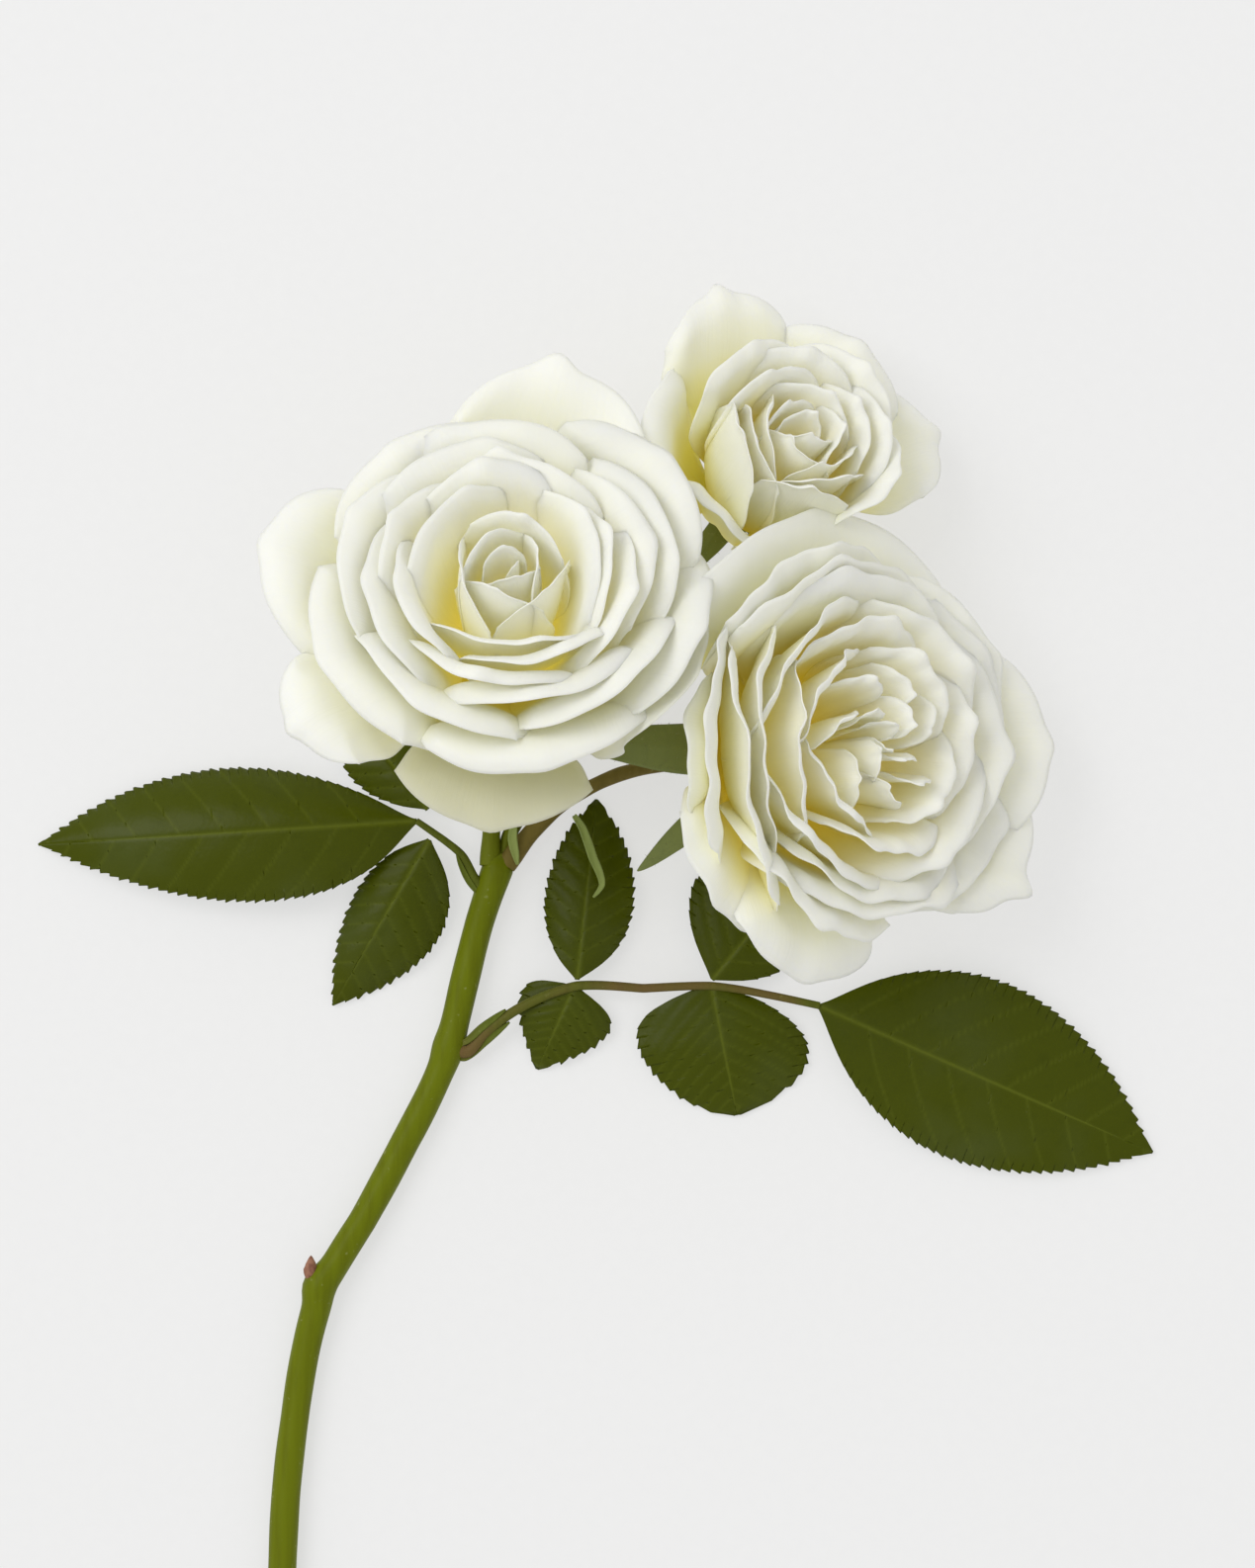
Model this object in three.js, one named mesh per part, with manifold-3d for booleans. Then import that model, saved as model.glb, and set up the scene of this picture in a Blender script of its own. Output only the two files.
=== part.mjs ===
// A cut spray rose: one stem that forks into three pedicels, each with a white double bloom, and two
// compound leaves. It lies on a flat surface with the blooms facing up.
// Millimetres, +Z up. The spray is laid out from its fork and then centred over its footprint, lowest
// point at z = 0. +Y runs from the cut end towards the blooms.
import * as THREE from "three";
import Module from "manifold-3d";

const wasm = await Module();
wasm.setup();

// ---- driving dimensions ------------------------------------------------------------------------

const CLEARANCE = 0.4; // between neighbouring pieces

const STEM_RADIUS = 2.3;
const STEM_TAIL = 55; // straight length below the lowest bend, down to the cut
const NODE_SWELLING = 1.22; // of the stem radius, where the bud sits
const BUD_LENGTH = 3.8;
const BUD_RADIUS = 1.0;

const PEDICEL_RADIUS = 1.15;
const HIP_LENGTH = 8;
const HIP_RADIUS = 3.7;
const RECEPTACLE_RADIUS = 4.6;
const SEPAL_THICKNESS = 0.9;
const BRACT_THICKNESS = 0.6;

const PETAL_THICKNESS = 0.5;
const PETAL_RAMP = 0.8; // how far one edge of a petal stands out and the other stands in
const CLAW_RADIUS = 2.6; // where the innermost whorl leaves the receptacle
const CLAW_STEP = 1.5; // from one whorl's claws to the next, outwards
const CLAW_DROP = 0.5; // from one whorl's claws to the next, downwards

const LEAF_THICKNESS = 0.7;

// Each bloom: where its receptacle is, how far its axis leans from the vertical and towards which
// side, the ellipsoid of its rolled inner petals, and its whorls from the inside out. A petal spreads
// to each side of its azimuth by half an angle. Its lip stands at radius reach and height rise over
// the receptacle, and ends at a slope above the horizontal.
const BLOOMS = [
  {
    name: "large",
    base: [0.9, 34.8, 28],
    lean: 25,
    leanTowards: 85,
    heart: { radius: 15, height: 15, centre: 17.5 },
    whorls: [
      { name: "inner", petals: whorl([20, 92, 164, 236, 308], { spread: 42, reach: 22, rise: 29, slope: 60 }) },
      { name: "outer", petals: whorl([40, 127, 205, 281, 345], { spread: 42, reach: 30.5, rise: 24.5, slope: 28 }) },
      {
        name: "guard",
        petals: [
          { azimuth: 77, spread: 32, reach: 36, rise: 23, slope: 30 },
          { azimuth: 172, spread: 27, reach: 38, rise: 19, slope: 5 },
          { azimuth: 222, spread: 21, reach: 38, rise: 15, slope: -8 },
          { azimuth: 268, spread: 23, reach: 35, rise: 12.5, slope: -18 },
          { azimuth: 325, spread: 31, reach: 33, rise: 20.5, slope: 40 },
        ],
      },
    ],
    sepals: { azimuths: [50, 122, 194, 266, 338], fall: 42, length: 17, width: 6 },
  },
  {
    name: "right",
    base: [43.2, 18.3, 20],
    lean: 40,
    leanTowards: 8,
    heart: { radius: 14, height: 14.5, centre: 16.6 },
    whorls: [
      { name: "inner", petals: whorl([30, 120, 210, 300], { spread: 51, reach: 19.5, rise: 28, slope: 66 }) },
      { name: "outer", petals: whorl([0, 72, 144, 216, 288], { spread: 42, reach: 27, rise: 23.5, slope: 42 }) },
      {
        name: "guard",
        petals: [
          { azimuth: 112, spread: 38, reach: 32, rise: 15.5, slope: 8 },
          { azimuth: 6, spread: 28, reach: 36, rise: 22, slope: 25 },
          { azimuth: 322, spread: 20, reach: 36, rise: 20, slope: 20 },
          { azimuth: 275, spread: 24, reach: 34, rise: 13, slope: -5 },
        ],
      },
    ],
    sepals: { azimuths: [30, 100, 176, 234, 304], fall: 28, length: 19, width: 6 },
  },
  {
    name: "top",
    base: [39.4, 58.8, 13],
    lean: 36,
    leanTowards: 48,
    heart: { radius: 9.5, height: 12, centre: 13.8 },
    whorls: [
      { name: "outer", petals: whorl([48, 120, 192, 264, 336], { spread: 42, reach: 16.5, rise: 22.5, slope: 62 }) },
      {
        name: "guard",
        petals: [
          { azimuth: 56, spread: 26, reach: 23, rise: 17, slope: 25 },
          { azimuth: 116, spread: 31, reach: 27, rise: 17, slope: 15 },
          { azimuth: 190, spread: 37, reach: 22, rise: 15, slope: 30 },
          { azimuth: 356, spread: 31, reach: 26, rise: 14.5, slope: 12 },
        ],
      },
    ],
    sepals: { azimuths: [12, 84, 156, 228, 300], fall: 18, length: 14, width: 5 },
  },
];

// Centrelines from the fork, chosen by hand. A pedicel's first point stands over the stem's end, and
// a leaf stalk's first point beside the stem; both are worked out from the radii.
const FORK = [-0.7, 0, 2.4];
const STEM_BEND = [-35.2, -112, 2.3]; // the lowest bend; the tail runs on straight from it
const STEM_ROUTE = [
  [-34.6, -100, 2.3],
  [-33.2, -88, 2.3],
  [-31.2, -76, 2.5],
  [-28.1, -66, 2.8],
  [-22.4, -56.5, 2.6],
  [-15.6, -43.9, 2.4],
  [-9.4, -31.2, 2.3],
  [-6.3, -19.3, 2.3],
  [-3.6, -8.6, 2.3],
];
const BUD_NODE = 3; // the place in STEM_ROUTE of the swollen node
const PEDICEL_ROUTES = {
  large: [[-1.7, 6.4, 2.3], [-1.6, 14, 2], [-1, 21.5, 4.6], [-0.2, 27.2, 10.8]],
  right: [[4.9, 6, 2.6], [10.6, 10.9, 2.9], [19, 15.1, 4], [28, 16.9, 5.4], [33.4, 17.3, 8.6]],
  top: [[1, 5, 1.3], [6.6, 14, 1.5], [15.5, 28, 1.5], [25, 41.5, 1.6], [31.4, 49.6, 2.9]],
};
const PEDICEL_SIDES = { large: -1, right: 1 }; // of the fork; the top pedicel starts beyond them
const TOP_PEDICEL_START = 0.65; // of the pedicel radius
const LEAF_STALKS = {
  left_petiole: {
    radius: 0.75,
    foot: [-2.1, -4.2, 2.9],
    heading: [-0.83, 0.52, 0.2],
    route: [[-6.2, 1.9, 3.8], [-8.3, 3.8, 4.4], [-10.6, 5.5, 4.9], [-12.4, 7.2, 5.4]],
  },
  right_rachis: {
    radius: 0.85,
    foot: [-8.3, -28.4, 2.6],
    heading: [0.9, -0.38, 0.2],
    route: [
      [-3.6, -26.6, 3.2],
      [2, -22.4, 3.6],
      [11.9, -18.2, 3.8],
      [22.5, -18.2, 3.6],
      [33.3, -17.9, 3.4],
      [42.3, -19.7, 3.2],
      [50, -21.8, 2.9],
    ],
  },
};

// Each leaflet: its base and tip, the half widths to its left and right seen from above, looking
// from base to tip, how far those halves fall below the midrib at their edges, and how high the
// midrib arches.
const LEAFLETS = [
  { name: "left_leaflet_end", base: [-14.2, 7.6, 5.4], tip: [-74.4, 3.8, 0.3], left: 12.5, right: 9, fall: [1.5, 5.5], arch: 4.2, widest: 0.46 },
  { name: "left_leaflet_lower", base: [-11.6, 3.8, 4.6], tip: [-27.2, -22, 0.3], left: 8.6, right: 7, fall: [2.5, 2.5], arch: 1.2, widest: 0.42 },
  { name: "left_leaflet_upper", base: [-11.6, 10.7, 5.2], tip: [-26.3, 28.5, 0.3], left: 6.5, right: 6, fall: [2, 2], arch: 1.5, widest: 0.5 },
  { name: "right_leaflet_1_upper", base: [12.1, -16.6, 3.6], tip: [14.9, 11, 0.3], left: 7.2, right: 7.2, fall: [1.8, 1.8], arch: 1.5, widest: 0.45 },
  { name: "right_leaflet_1_lower", base: [11.6, -20.5, 3.4], tip: [5.6, -32.8, 0.3], left: 8.4, right: 6.2, fall: [1.8, 1.4], arch: 1, widest: 0.36 },
  { name: "right_leaflet_2_upper", base: [33.9, -16, 3.4], tip: [50.5, 3, 0.3], left: 8, right: 8.4, fall: [1.8, 1.8], arch: 1.6, widest: 0.45 },
  { name: "right_leaflet_2_lower", base: [33.5, -19.8, 3.2], tip: [36.9, -39.8, 0.3], left: 13, right: 12.4, fall: [1.8, 1.8], arch: 1.2, widest: 0.42 },
  { name: "right_leaflet_end", base: [51.2, -22.1, 3], tip: [104.3, -45.6, 0.3], left: 15.4, right: 14.4, fall: [2.2, 2.2], arch: 2.6, widest: 0.45 },
];

// Bracts: small strips with a centreline and a width.
const BRACTS = [
  { name: "bract_fork", route: [[2, 7.4, 5.2], [1.7, 4.8, 5], [2.1, 2.6, 4.6], [2.5, 0.6, 4.6]], width: 2 },
  { name: "bract_curled", route: [[11.6, 8.4, 5.2], [12.9, 6.4, 7.2], [14.6, 1.6, 7], [16, -2.6, 5.4], [14.6, -4.6, 5]], width: 2 },
];

const GREEN_STEM = new THREE.MeshStandardMaterial({ color: 0x6f7a10, roughness: 0.5, metalness: 0 });
const GREEN_LEAF = new THREE.MeshStandardMaterial({ color: 0x3b4a08, roughness: 0.45, metalness: 0 });
const GREEN_CALYX = new THREE.MeshStandardMaterial({ color: 0x59600f, roughness: 0.55, metalness: 0 });
const BROWN_BUD = new THREE.MeshStandardMaterial({ color: 0x7d4a3c, roughness: 0.6, metalness: 0 });
const WHITE_PETAL = new THREE.MeshStandardMaterial({ color: 0xeef0e0, roughness: 0.6, metalness: 0 });

// Petals alike but for their azimuths.
function whorl(azimuths, shape) {
  return azimuths.map((azimuth) => ({ azimuth, ...shape }));
}

// ---- closed bodies -----------------------------------------------------------------------------

const vector = ([x, y, z]) => new THREE.Vector3(x, y, z);
const radians = THREE.MathUtils.degToRad;

// A closed body through rings of as many points each, turning left about the way they advance. Each
// end is closed by a strip between the two halves of its ring.
function bodyThroughRings(rings) {
  const sides = rings[0].length;
  const last = (rings.length - 1) * sides;
  const faces = [];
  for (let ring = 0; ring < last; ring += sides) {
    for (let side = 0; side < sides; side++) {
      const [a, b] = [ring + side, ring + ((side + 1) % sides)];
      faces.push(a, b, b + sides, a, b + sides, a + sides);
    }
  }
  for (let side = 0; side < sides / 2 - 1; side++) {
    const [a, b, c, d] = [side, side + 1, sides - 2 - side, sides - 1 - side];
    faces.push(a, c, b, a, d, c);
    faces.push(last + a, last + b, last + c, last + a, last + c, last + d);
  }
  return new THREE.BufferGeometry().setFromPoints(rings.flat()).setIndex(faces);
}

// A round tube along a curve; radiusAt gives its radius at a share of the length.
function taperedTube(route, radiusAt, sides, steps) {
  const curve = new THREE.CatmullRomCurve3(route.map(vector), false, "centripetal");
  const { normals, binormals } = curve.computeFrenetFrames(steps, false);
  const rings = [];
  for (let step = 0; step <= steps; step++) {
    const centre = curve.getPointAt(step / steps);
    const radius = radiusAt(step / steps);
    const ring = [];
    for (let side = 0; side < sides; side++) {
      const angle = (2 * Math.PI * side) / sides;
      ring.push(
        centre
          .clone()
          .addScaledVector(normals[step], radius * Math.cos(angle))
          .addScaledVector(binormals[step], radius * Math.sin(angle)),
      );
    }
    rings.push(ring);
  }
  return bodyThroughRings(rings);
}

// A thin body about a middle surface, thinner at its edges. surface(u, v) is a point for u from -1 to
// 1 across and v from 0 to 1 along.
function thinBody(surface, thickness, across, along) {
  const EPSILON = 1e-3;
  const RIM = 0.5; // of the full thickness
  const rings = [];
  for (let row = 0; row <= along; row++) {
    const v = row / along;
    const front = [];
    const back = [];
    for (let column = 0; column <= across; column++) {
      const u = (2 * column) / across - 1;
      const inner = THREE.MathUtils.clamp(u, -1 + EPSILON, 1 - EPSILON);
      const lower = THREE.MathUtils.clamp(v, EPSILON, 1 - EPSILON);
      const sideways = surface(inner + EPSILON, lower).sub(surface(inner - EPSILON, lower));
      const onwards = surface(inner, lower + EPSILON).sub(surface(inner, lower - EPSILON));
      const half = (thickness / 2) * (RIM + (1 - RIM) * Math.sqrt(1 - u * u) * Math.sin(Math.PI * v));
      const offset = sideways.cross(onwards).setLength(half);
      front.push(surface(u, v).add(offset));
      back.unshift(surface(u, v).sub(offset));
    }
    rings.push([...front, ...back]);
  }
  return bodyThroughRings(rings);
}

function solidFrom(geometry) {
  const vertProperties = new Float32Array(geometry.getAttribute("position").array);
  const triVerts = new Uint32Array(geometry.index.array);
  const mesh = new wasm.Mesh({ numProp: 3, vertProperties, triVerts });
  mesh.merge();
  return new wasm.Manifold(mesh);
}

function geometryFrom(solid) {
  const { vertProperties, triVerts, numProp, numVert } = solid.getMesh();
  const positions = new Float32Array(numVert * 3);
  for (let i = 0; i < numVert; i++) positions.set(vertProperties.subarray(i * numProp, i * numProp + 3), 3 * i);
  return new THREE.BufferGeometry()
    .setAttribute("position", new THREE.BufferAttribute(positions, 3))
    .setIndex(new THREE.BufferAttribute(triVerts, 1));
}

function addPiece(group, name, geometry, material) {
  const mesh = new THREE.Mesh(geometry, material);
  mesh.name = name;
  group.add(mesh);
  return mesh;
}

// ---- stem, bud and pedicels --------------------------------------------------------------------

function addStem(spray) {
  const bend = vector(STEM_BEND);
  const heading = bend.clone().sub(vector(STEM_ROUTE[0])).normalize();
  const cut = bend.clone().addScaledVector(heading, STEM_TAIL);
  const route = [cut.toArray(), STEM_BEND, ...STEM_ROUTE, FORK];
  const curve = new THREE.CatmullRomCurve3(route.map(vector), false, "centripetal");
  const nodeShare = curve.getLengths(200)[Math.round((200 * (BUD_NODE + 2)) / (route.length - 1))] / curve.getLength();
  const swollen = (share) => 1 + (NODE_SWELLING - 1) * Math.exp(-(((share - nodeShare) / 0.02) ** 2));
  addPiece(spray, "stem", taperedTube(route, (share) => STEM_RADIUS * swollen(share), 10, 30), GREEN_STEM);

  // The bud stands against the swollen node, on the outside of the bend.
  const node = curve.getPointAt(nodeShare);
  const up = curve.getTangentAt(nodeShare);
  const outwards = new THREE.Vector3(-up.y, up.x, 0).normalize();
  const shape = new THREE.SphereGeometry(BUD_RADIUS, 10, 8).scale(1, BUD_LENGTH / 2 / BUD_RADIUS, 1);
  const bud = addPiece(spray, "axillary_bud", shape, BROWN_BUD);
  bud.position
    .copy(node)
    .addScaledVector(outwards, STEM_RADIUS * NODE_SWELLING + BUD_RADIUS + CLEARANCE)
    .addScaledVector(up, BUD_LENGTH / 2);
  bud.position.z += BUD_RADIUS / 2;
  bud.quaternion.setFromUnitVectors(new THREE.Vector3(0, 1, 0), up);
}

function addPedicel(spray, bloom) {
  const axis = bloomAxis(bloom);
  const hipEnd = vector(bloom.base).addScaledVector(axis, -HIP_LENGTH - 2 * CLEARANCE);
  const approach = hipEnd.clone().addScaledVector(axis, -2);
  const route = [...PEDICEL_ROUTES[bloom.name], approach.toArray(), hipEnd.toArray()];
  const side = PEDICEL_SIDES[bloom.name];
  if (side) {
    const start = vector(FORK).add(new THREE.Vector3(side * (PEDICEL_RADIUS + CLEARANCE / 2), 0, CLEARANCE));
    start.y += 2 * CLEARANCE + PEDICEL_RADIUS / 2;
    route.unshift(start.toArray());
  }
  const startRadius = side ? PEDICEL_RADIUS : TOP_PEDICEL_START * PEDICEL_RADIUS;
  const radiusAt = (share) => startRadius + (PEDICEL_RADIUS - startRadius) * Math.min(1, 4 * share);
  addPiece(spray, `pedicel_${bloom.name}`, taperedTube(route, radiusAt, 8, 16), GREEN_STEM);
}

// ---- blooms ------------------------------------------------------------------------------------

function bloomAxis({ lean, leanTowards }) {
  const [tilt, towards] = [radians(lean), radians(leanTowards)];
  return new THREE.Vector3(Math.sin(tilt) * Math.cos(towards), Math.sin(tilt) * Math.sin(towards), Math.cos(tilt));
}

// A petal's middle surface, in the bloom's own frame: its receptacle at the origin, its axis +Z.
function petalSurface(petal, order) {
  const start = new THREE.Vector2(CLAW_RADIUS + CLAW_STEP * order, -CLAW_DROP * order);
  const lip = new THREE.Vector2(petal.reach, petal.rise);
  const out = lip.length();
  const claw = start.clone().add(new THREE.Vector2(0.96, 0.28).multiplyScalar(0.42 * out));
  const slope = radians(petal.slope);
  const curl = lip.clone().sub(new THREE.Vector2(Math.cos(slope), Math.sin(slope)).multiplyScalar(0.3 * out));
  const profile = new THREE.CubicBezierCurve(start, claw, curl, lip);
  const ROUNDING = 0.14; // how much shorter the petal is at its sides
  const CLAW_SHARE = 0.42; // of the spread, at the receptacle
  return (u, v) => {
    const point = profile.getPoint(v * (1 - ROUNDING * u * u));
    const width = CLAW_SHARE + (1 - CLAW_SHARE) * Math.sin((Math.PI / 2) * Math.min(1, 1.5 * v));
    const turn = radians(petal.spread) * width * u;
    const heading = profile.getTangent(v);
    const ramp = PETAL_RAMP * u * Math.min(1, 3.5 * v);
    const radius = point.x + ramp * heading.y;
    const angle = radians(petal.azimuth) + turn;
    return new THREE.Vector3(radius * Math.cos(angle), radius * Math.sin(angle), point.y - ramp * heading.x);
  };
}

// A sepal's middle surface: a pointed strip that falls back from the receptacle's rim.
function sepalSurface(azimuth, { fall, length, width }) {
  const drop = radians(fall);
  return (u, v) => {
    const along = RECEPTACLE_RADIUS - 1.2 + length * v * Math.cos(drop * v);
    const sideways = (width / 2) * u * Math.pow(1 - v, 0.8) * (0.75 + 0.9 * v);
    const height = -1.9 - length * v * Math.sin(drop * v) - 0.06 * sideways * sideways;
    const angle = radians(azimuth);
    return new THREE.Vector3(
      along * Math.cos(angle) - sideways * Math.sin(angle),
      along * Math.sin(angle) + sideways * Math.cos(angle),
      height,
    );
  };
}

// The hip with its five sepals, grown in one piece.
function calyxGeometry(bloom) {
  const top = -2 * CLAW_DROP - PETAL_THICKNESS / 2 - CLEARANCE; // clear of the outermost claws
  const profile = [
    [0, -HIP_LENGTH],
    [PEDICEL_RADIUS * 1.1, -HIP_LENGTH],
    [HIP_RADIUS * 0.8, -HIP_LENGTH * 0.8],
    [HIP_RADIUS, -HIP_LENGTH * 0.5],
    [HIP_RADIUS * 0.95, -HIP_LENGTH * 0.32],
    [RECEPTACLE_RADIUS, top - 0.9],
    [RECEPTACLE_RADIUS * 0.9, top],
    [0, top],
  ].map(([radius, height]) => new THREE.Vector2(radius, height));
  const hip = new THREE.LatheGeometry(profile, 12).rotateX(Math.PI / 2);
  let solid = solidFrom(hip);
  for (const azimuth of bloom.sepals.azimuths) {
    const sepal = thinBody(sepalSurface(azimuth, bloom.sepals), SEPAL_THICKNESS, 2, 5);
    solid = solid.add(solidFrom(sepal));
  }
  return geometryFrom(solid);
}

function addBloom(spray, bloom) {
  const group = new THREE.Group();
  group.position.copy(vector(bloom.base));
  group.quaternion.setFromUnitVectors(new THREE.Vector3(0, 0, 1), bloomAxis(bloom));
  spray.add(group);

  addPiece(group, `calyx_${bloom.name}`, calyxGeometry(bloom), GREEN_CALYX);

  const { radius, height, centre } = bloom.heart;
  const heart = new THREE.SphereGeometry(radius, 12, 8).rotateX(Math.PI / 2).scale(1, 1, height / radius);
  addPiece(group, `${bloom.name}_heart`, heart, WHITE_PETAL).position.z = centre;

  bloom.whorls.forEach(({ name, petals }, order) => {
    petals.forEach((petal, index) => {
      const body = thinBody(petalSurface(petal, order), PETAL_THICKNESS, 5, 5);
      addPiece(group, `${bloom.name}_${name}_petal_${index + 1}`, body, WHITE_PETAL);
    });
  });
}

// ---- leaves and bracts -------------------------------------------------------------------------

// A leaflet's middle surface: pointed at the tip, rounded at the base, its halves falling from the
// midrib.
function leafletSurface({ base, tip, left, right, fall, arch, widest }) {
  const start = vector(base);
  const along = vector(tip).sub(start);
  const side = new THREE.Vector3(-along.y, along.x, 0).normalize();
  const peak = Math.log(0.5) / Math.log(widest); // puts the widest place at that share of the length
  return (u, v) => {
    const half = u < 0 ? right : left;
    const drop = u < 0 ? fall[1] : fall[0];
    const width = Math.pow(Math.sin(Math.PI * Math.pow(0.02 + 0.97 * v, peak)), 0.8);
    const point = start.clone().addScaledVector(along, v);
    point.addScaledVector(side, half * width * u);
    point.z += arch * Math.sin(Math.PI * v) - drop * width * u * u;
    point.z = Math.max(point.z, LEAF_THICKNESS / 2);
    return point;
  };
}

function bractSurface({ route, width }) {
  const curve = new THREE.CatmullRomCurve3(route.map(vector), false, "centripetal");
  return (u, v) => {
    const point = curve.getPointAt(v);
    const tangent = curve.getTangentAt(v);
    const side = new THREE.Vector3(-tangent.y, tangent.x, 0).normalize();
    return point.addScaledVector(side, (width / 2) * u * (1 - 0.85 * v));
  };
}

function addLeaves(spray) {
  for (const [name, { radius, foot, heading, route }] of Object.entries(LEAF_STALKS)) {
    const away = vector(heading).setLength(STEM_RADIUS + radius + CLEARANCE);
    const start = vector(foot).add(away);
    const stalk = taperedTube([start.toArray(), ...route], (share) => radius * (1 - 0.3 * share), 8, 3 * route.length);
    addPiece(spray, name, stalk, GREEN_STEM);
  }
  for (const leaflet of LEAFLETS) {
    addPiece(spray, leaflet.name, thinBody(leafletSurface(leaflet), LEAF_THICKNESS, 4, 8), GREEN_LEAF);
  }
  for (const bract of BRACTS) {
    addPiece(spray, bract.name, thinBody(bractSurface(bract), BRACT_THICKNESS, 4, 8), GREEN_CALYX);
  }
}

// ---- the whole spray ---------------------------------------------------------------------------

const spray = new THREE.Group();
addStem(spray);
for (const bloom of BLOOMS) {
  addPedicel(spray, bloom);
  addBloom(spray, bloom);
}
addLeaves(spray);

const box = new THREE.Box3().setFromObject(spray, true);
spray.position.set(-(box.min.x + box.max.x) / 2, -(box.min.y + box.max.y) / 2, -box.min.z);

export default spray;
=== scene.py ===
"""A cut spray rose that lies on a pale surface.

One stem forks into three stalks, each with a white double bloom, and carries two compound leaves.
The spray is laid out in millimetres from its fork: X to the right, Y from the cut end to the blooms,
Z up from the surface. A bloom is laid out in its own frame, with its receptacle at the origin and its
axis along Z. Everything is then placed in the frame of the solid model, in metres.
"""
import logging
import math
from dataclasses import dataclass, field, replace
from enum import Enum
from typing import Sequence, Union

import bpy
import numpy as np
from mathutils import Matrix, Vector


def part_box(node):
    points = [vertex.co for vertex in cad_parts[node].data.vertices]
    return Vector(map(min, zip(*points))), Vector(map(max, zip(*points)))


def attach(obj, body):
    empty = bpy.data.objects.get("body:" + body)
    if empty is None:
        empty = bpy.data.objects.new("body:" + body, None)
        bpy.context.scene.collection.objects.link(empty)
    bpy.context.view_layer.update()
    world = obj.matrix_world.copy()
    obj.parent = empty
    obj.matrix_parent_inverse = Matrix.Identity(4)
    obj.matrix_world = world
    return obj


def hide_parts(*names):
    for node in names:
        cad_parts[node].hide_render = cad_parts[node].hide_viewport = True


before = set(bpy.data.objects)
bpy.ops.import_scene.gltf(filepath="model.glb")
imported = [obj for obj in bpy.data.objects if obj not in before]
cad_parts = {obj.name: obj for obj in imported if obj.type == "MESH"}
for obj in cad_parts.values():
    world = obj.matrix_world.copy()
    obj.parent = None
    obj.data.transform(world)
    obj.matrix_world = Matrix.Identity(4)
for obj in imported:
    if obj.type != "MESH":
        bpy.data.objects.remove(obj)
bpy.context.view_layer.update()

LOG = logging.getLogger("rose")
MM = 0.001
Array = np.ndarray


# ---- placing ------------------------------------------------------------------------------------


class Slot(Enum):
    """The record's material slots."""

    STEM = "stem"
    PEDICEL = "pedicel"
    BUD = "bud"
    LEAF_STALK = "leaf_stalk"
    LEAF = "leaf"
    CALYX = "calyx"
    BRACT = "bract"
    PETAL = "petal"
    INNER_PETAL = "inner_petal"


def smooth(low: float, high: float, values: Array) -> Array:
    """Rises smoothly from 0 at low to 1 at high."""
    share = np.clip((values - low) / (high - low), 0, 1)
    return share * share * (3 - 2 * share)


def unit(vectors: Array) -> Array:
    """Scales vectors, along the last axis, to a length of 1."""
    return vectors / np.maximum(np.linalg.norm(vectors, axis=-1, keepdims=True), 1e-12)


def direction(lean: float, towards: float) -> Array:
    """Gives the unit vector that leans from the vertical.

    Args:
        lean: The angle from the vertical, in degrees.
        towards: The side it leans to, in degrees from +X.

    Returns:
        The vector.
    """
    tilt, side = math.radians(lean), math.radians(towards)
    return np.array([math.sin(tilt) * math.cos(side), math.sin(tilt) * math.sin(side), math.cos(tilt)])


@dataclass(frozen=True)
class BloomFrame:
    """Where a bloom's receptacle is and how its axis leans.

    Attributes:
        base: The receptacle, in millimetres from the fork.
        lean: The axis's angle from the vertical, in degrees.
        towards: The side it leans to, in degrees from +X.
    """

    base: tuple[float, float, float]
    lean: float
    towards: float

    @property
    def axis(self) -> Array:
        """The bloom's axis."""
        return direction(self.lean, self.towards)

    def spray(self, points: Array) -> Array:
        """Turns points of the bloom's frame into the spray's, both in millimetres."""
        turn = Vector((0, 0, 1)).rotation_difference(Vector(self.axis)).to_matrix()
        return points @ np.array(turn).T + np.array(self.base)


LARGE = BloomFrame((0.9, 34.8, 28), 25, 85)
RIGHT = BloomFrame((43.2, 18.3, 20), 40, 8)
TOP = BloomFrame((39.4, 58.8, 13), 36, 48)
LARGE_HEART_CENTRE = 17.5  # the height of its solid's middle over the receptacle


def fork_in_frame() -> Array:
    """Finds the fork in the frame, in metres, from the solid of the large bloom's heart."""
    low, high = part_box("large_heart")
    centre = np.array(LARGE.base) + LARGE_HEART_CENTRE * LARGE.axis
    return (np.array(low) + np.array(high)) / 2 - centre * MM


FORK_IN_FRAME = fork_in_frame()
SURFACE = -FORK_IN_FRAME[2] / MM  # the height of the surface it lies on, in millimetres from the fork


# ---- meshes -------------------------------------------------------------------------------------


@dataclass
class Body:
    """A closed body in the making, in millimetres.

    Attributes:
        points: One row for each vertex.
        faces: Vertex numbers, four or three for each face.
        values: Named numbers, one for each vertex, which finishes read as attributes.
    """

    points: Array
    faces: list[tuple[int, ...]]
    values: dict[str, Array] = field(default_factory=dict)


def join_bodies(bodies: Sequence[Body]) -> Body:
    """Joins bodies that have the same values into one."""
    faces: list[tuple[int, ...]] = []
    shift = 0
    for body in bodies:
        faces += [tuple(corner + shift for corner in face) for face in body.faces]
        shift += len(body.points)
    values = {name: np.concatenate([body.values[name] for body in bodies]) for name in bodies[0].values}
    return Body(np.concatenate([body.points for body in bodies]), faces, values)


def quads(*corners: Array) -> list[tuple[int, ...]]:
    """Gives four-cornered faces from arrays of their first, second, third and fourth corners."""
    return [tuple(face) for face in np.stack(corners, axis=-1).reshape(-1, 4).tolist()]


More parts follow.
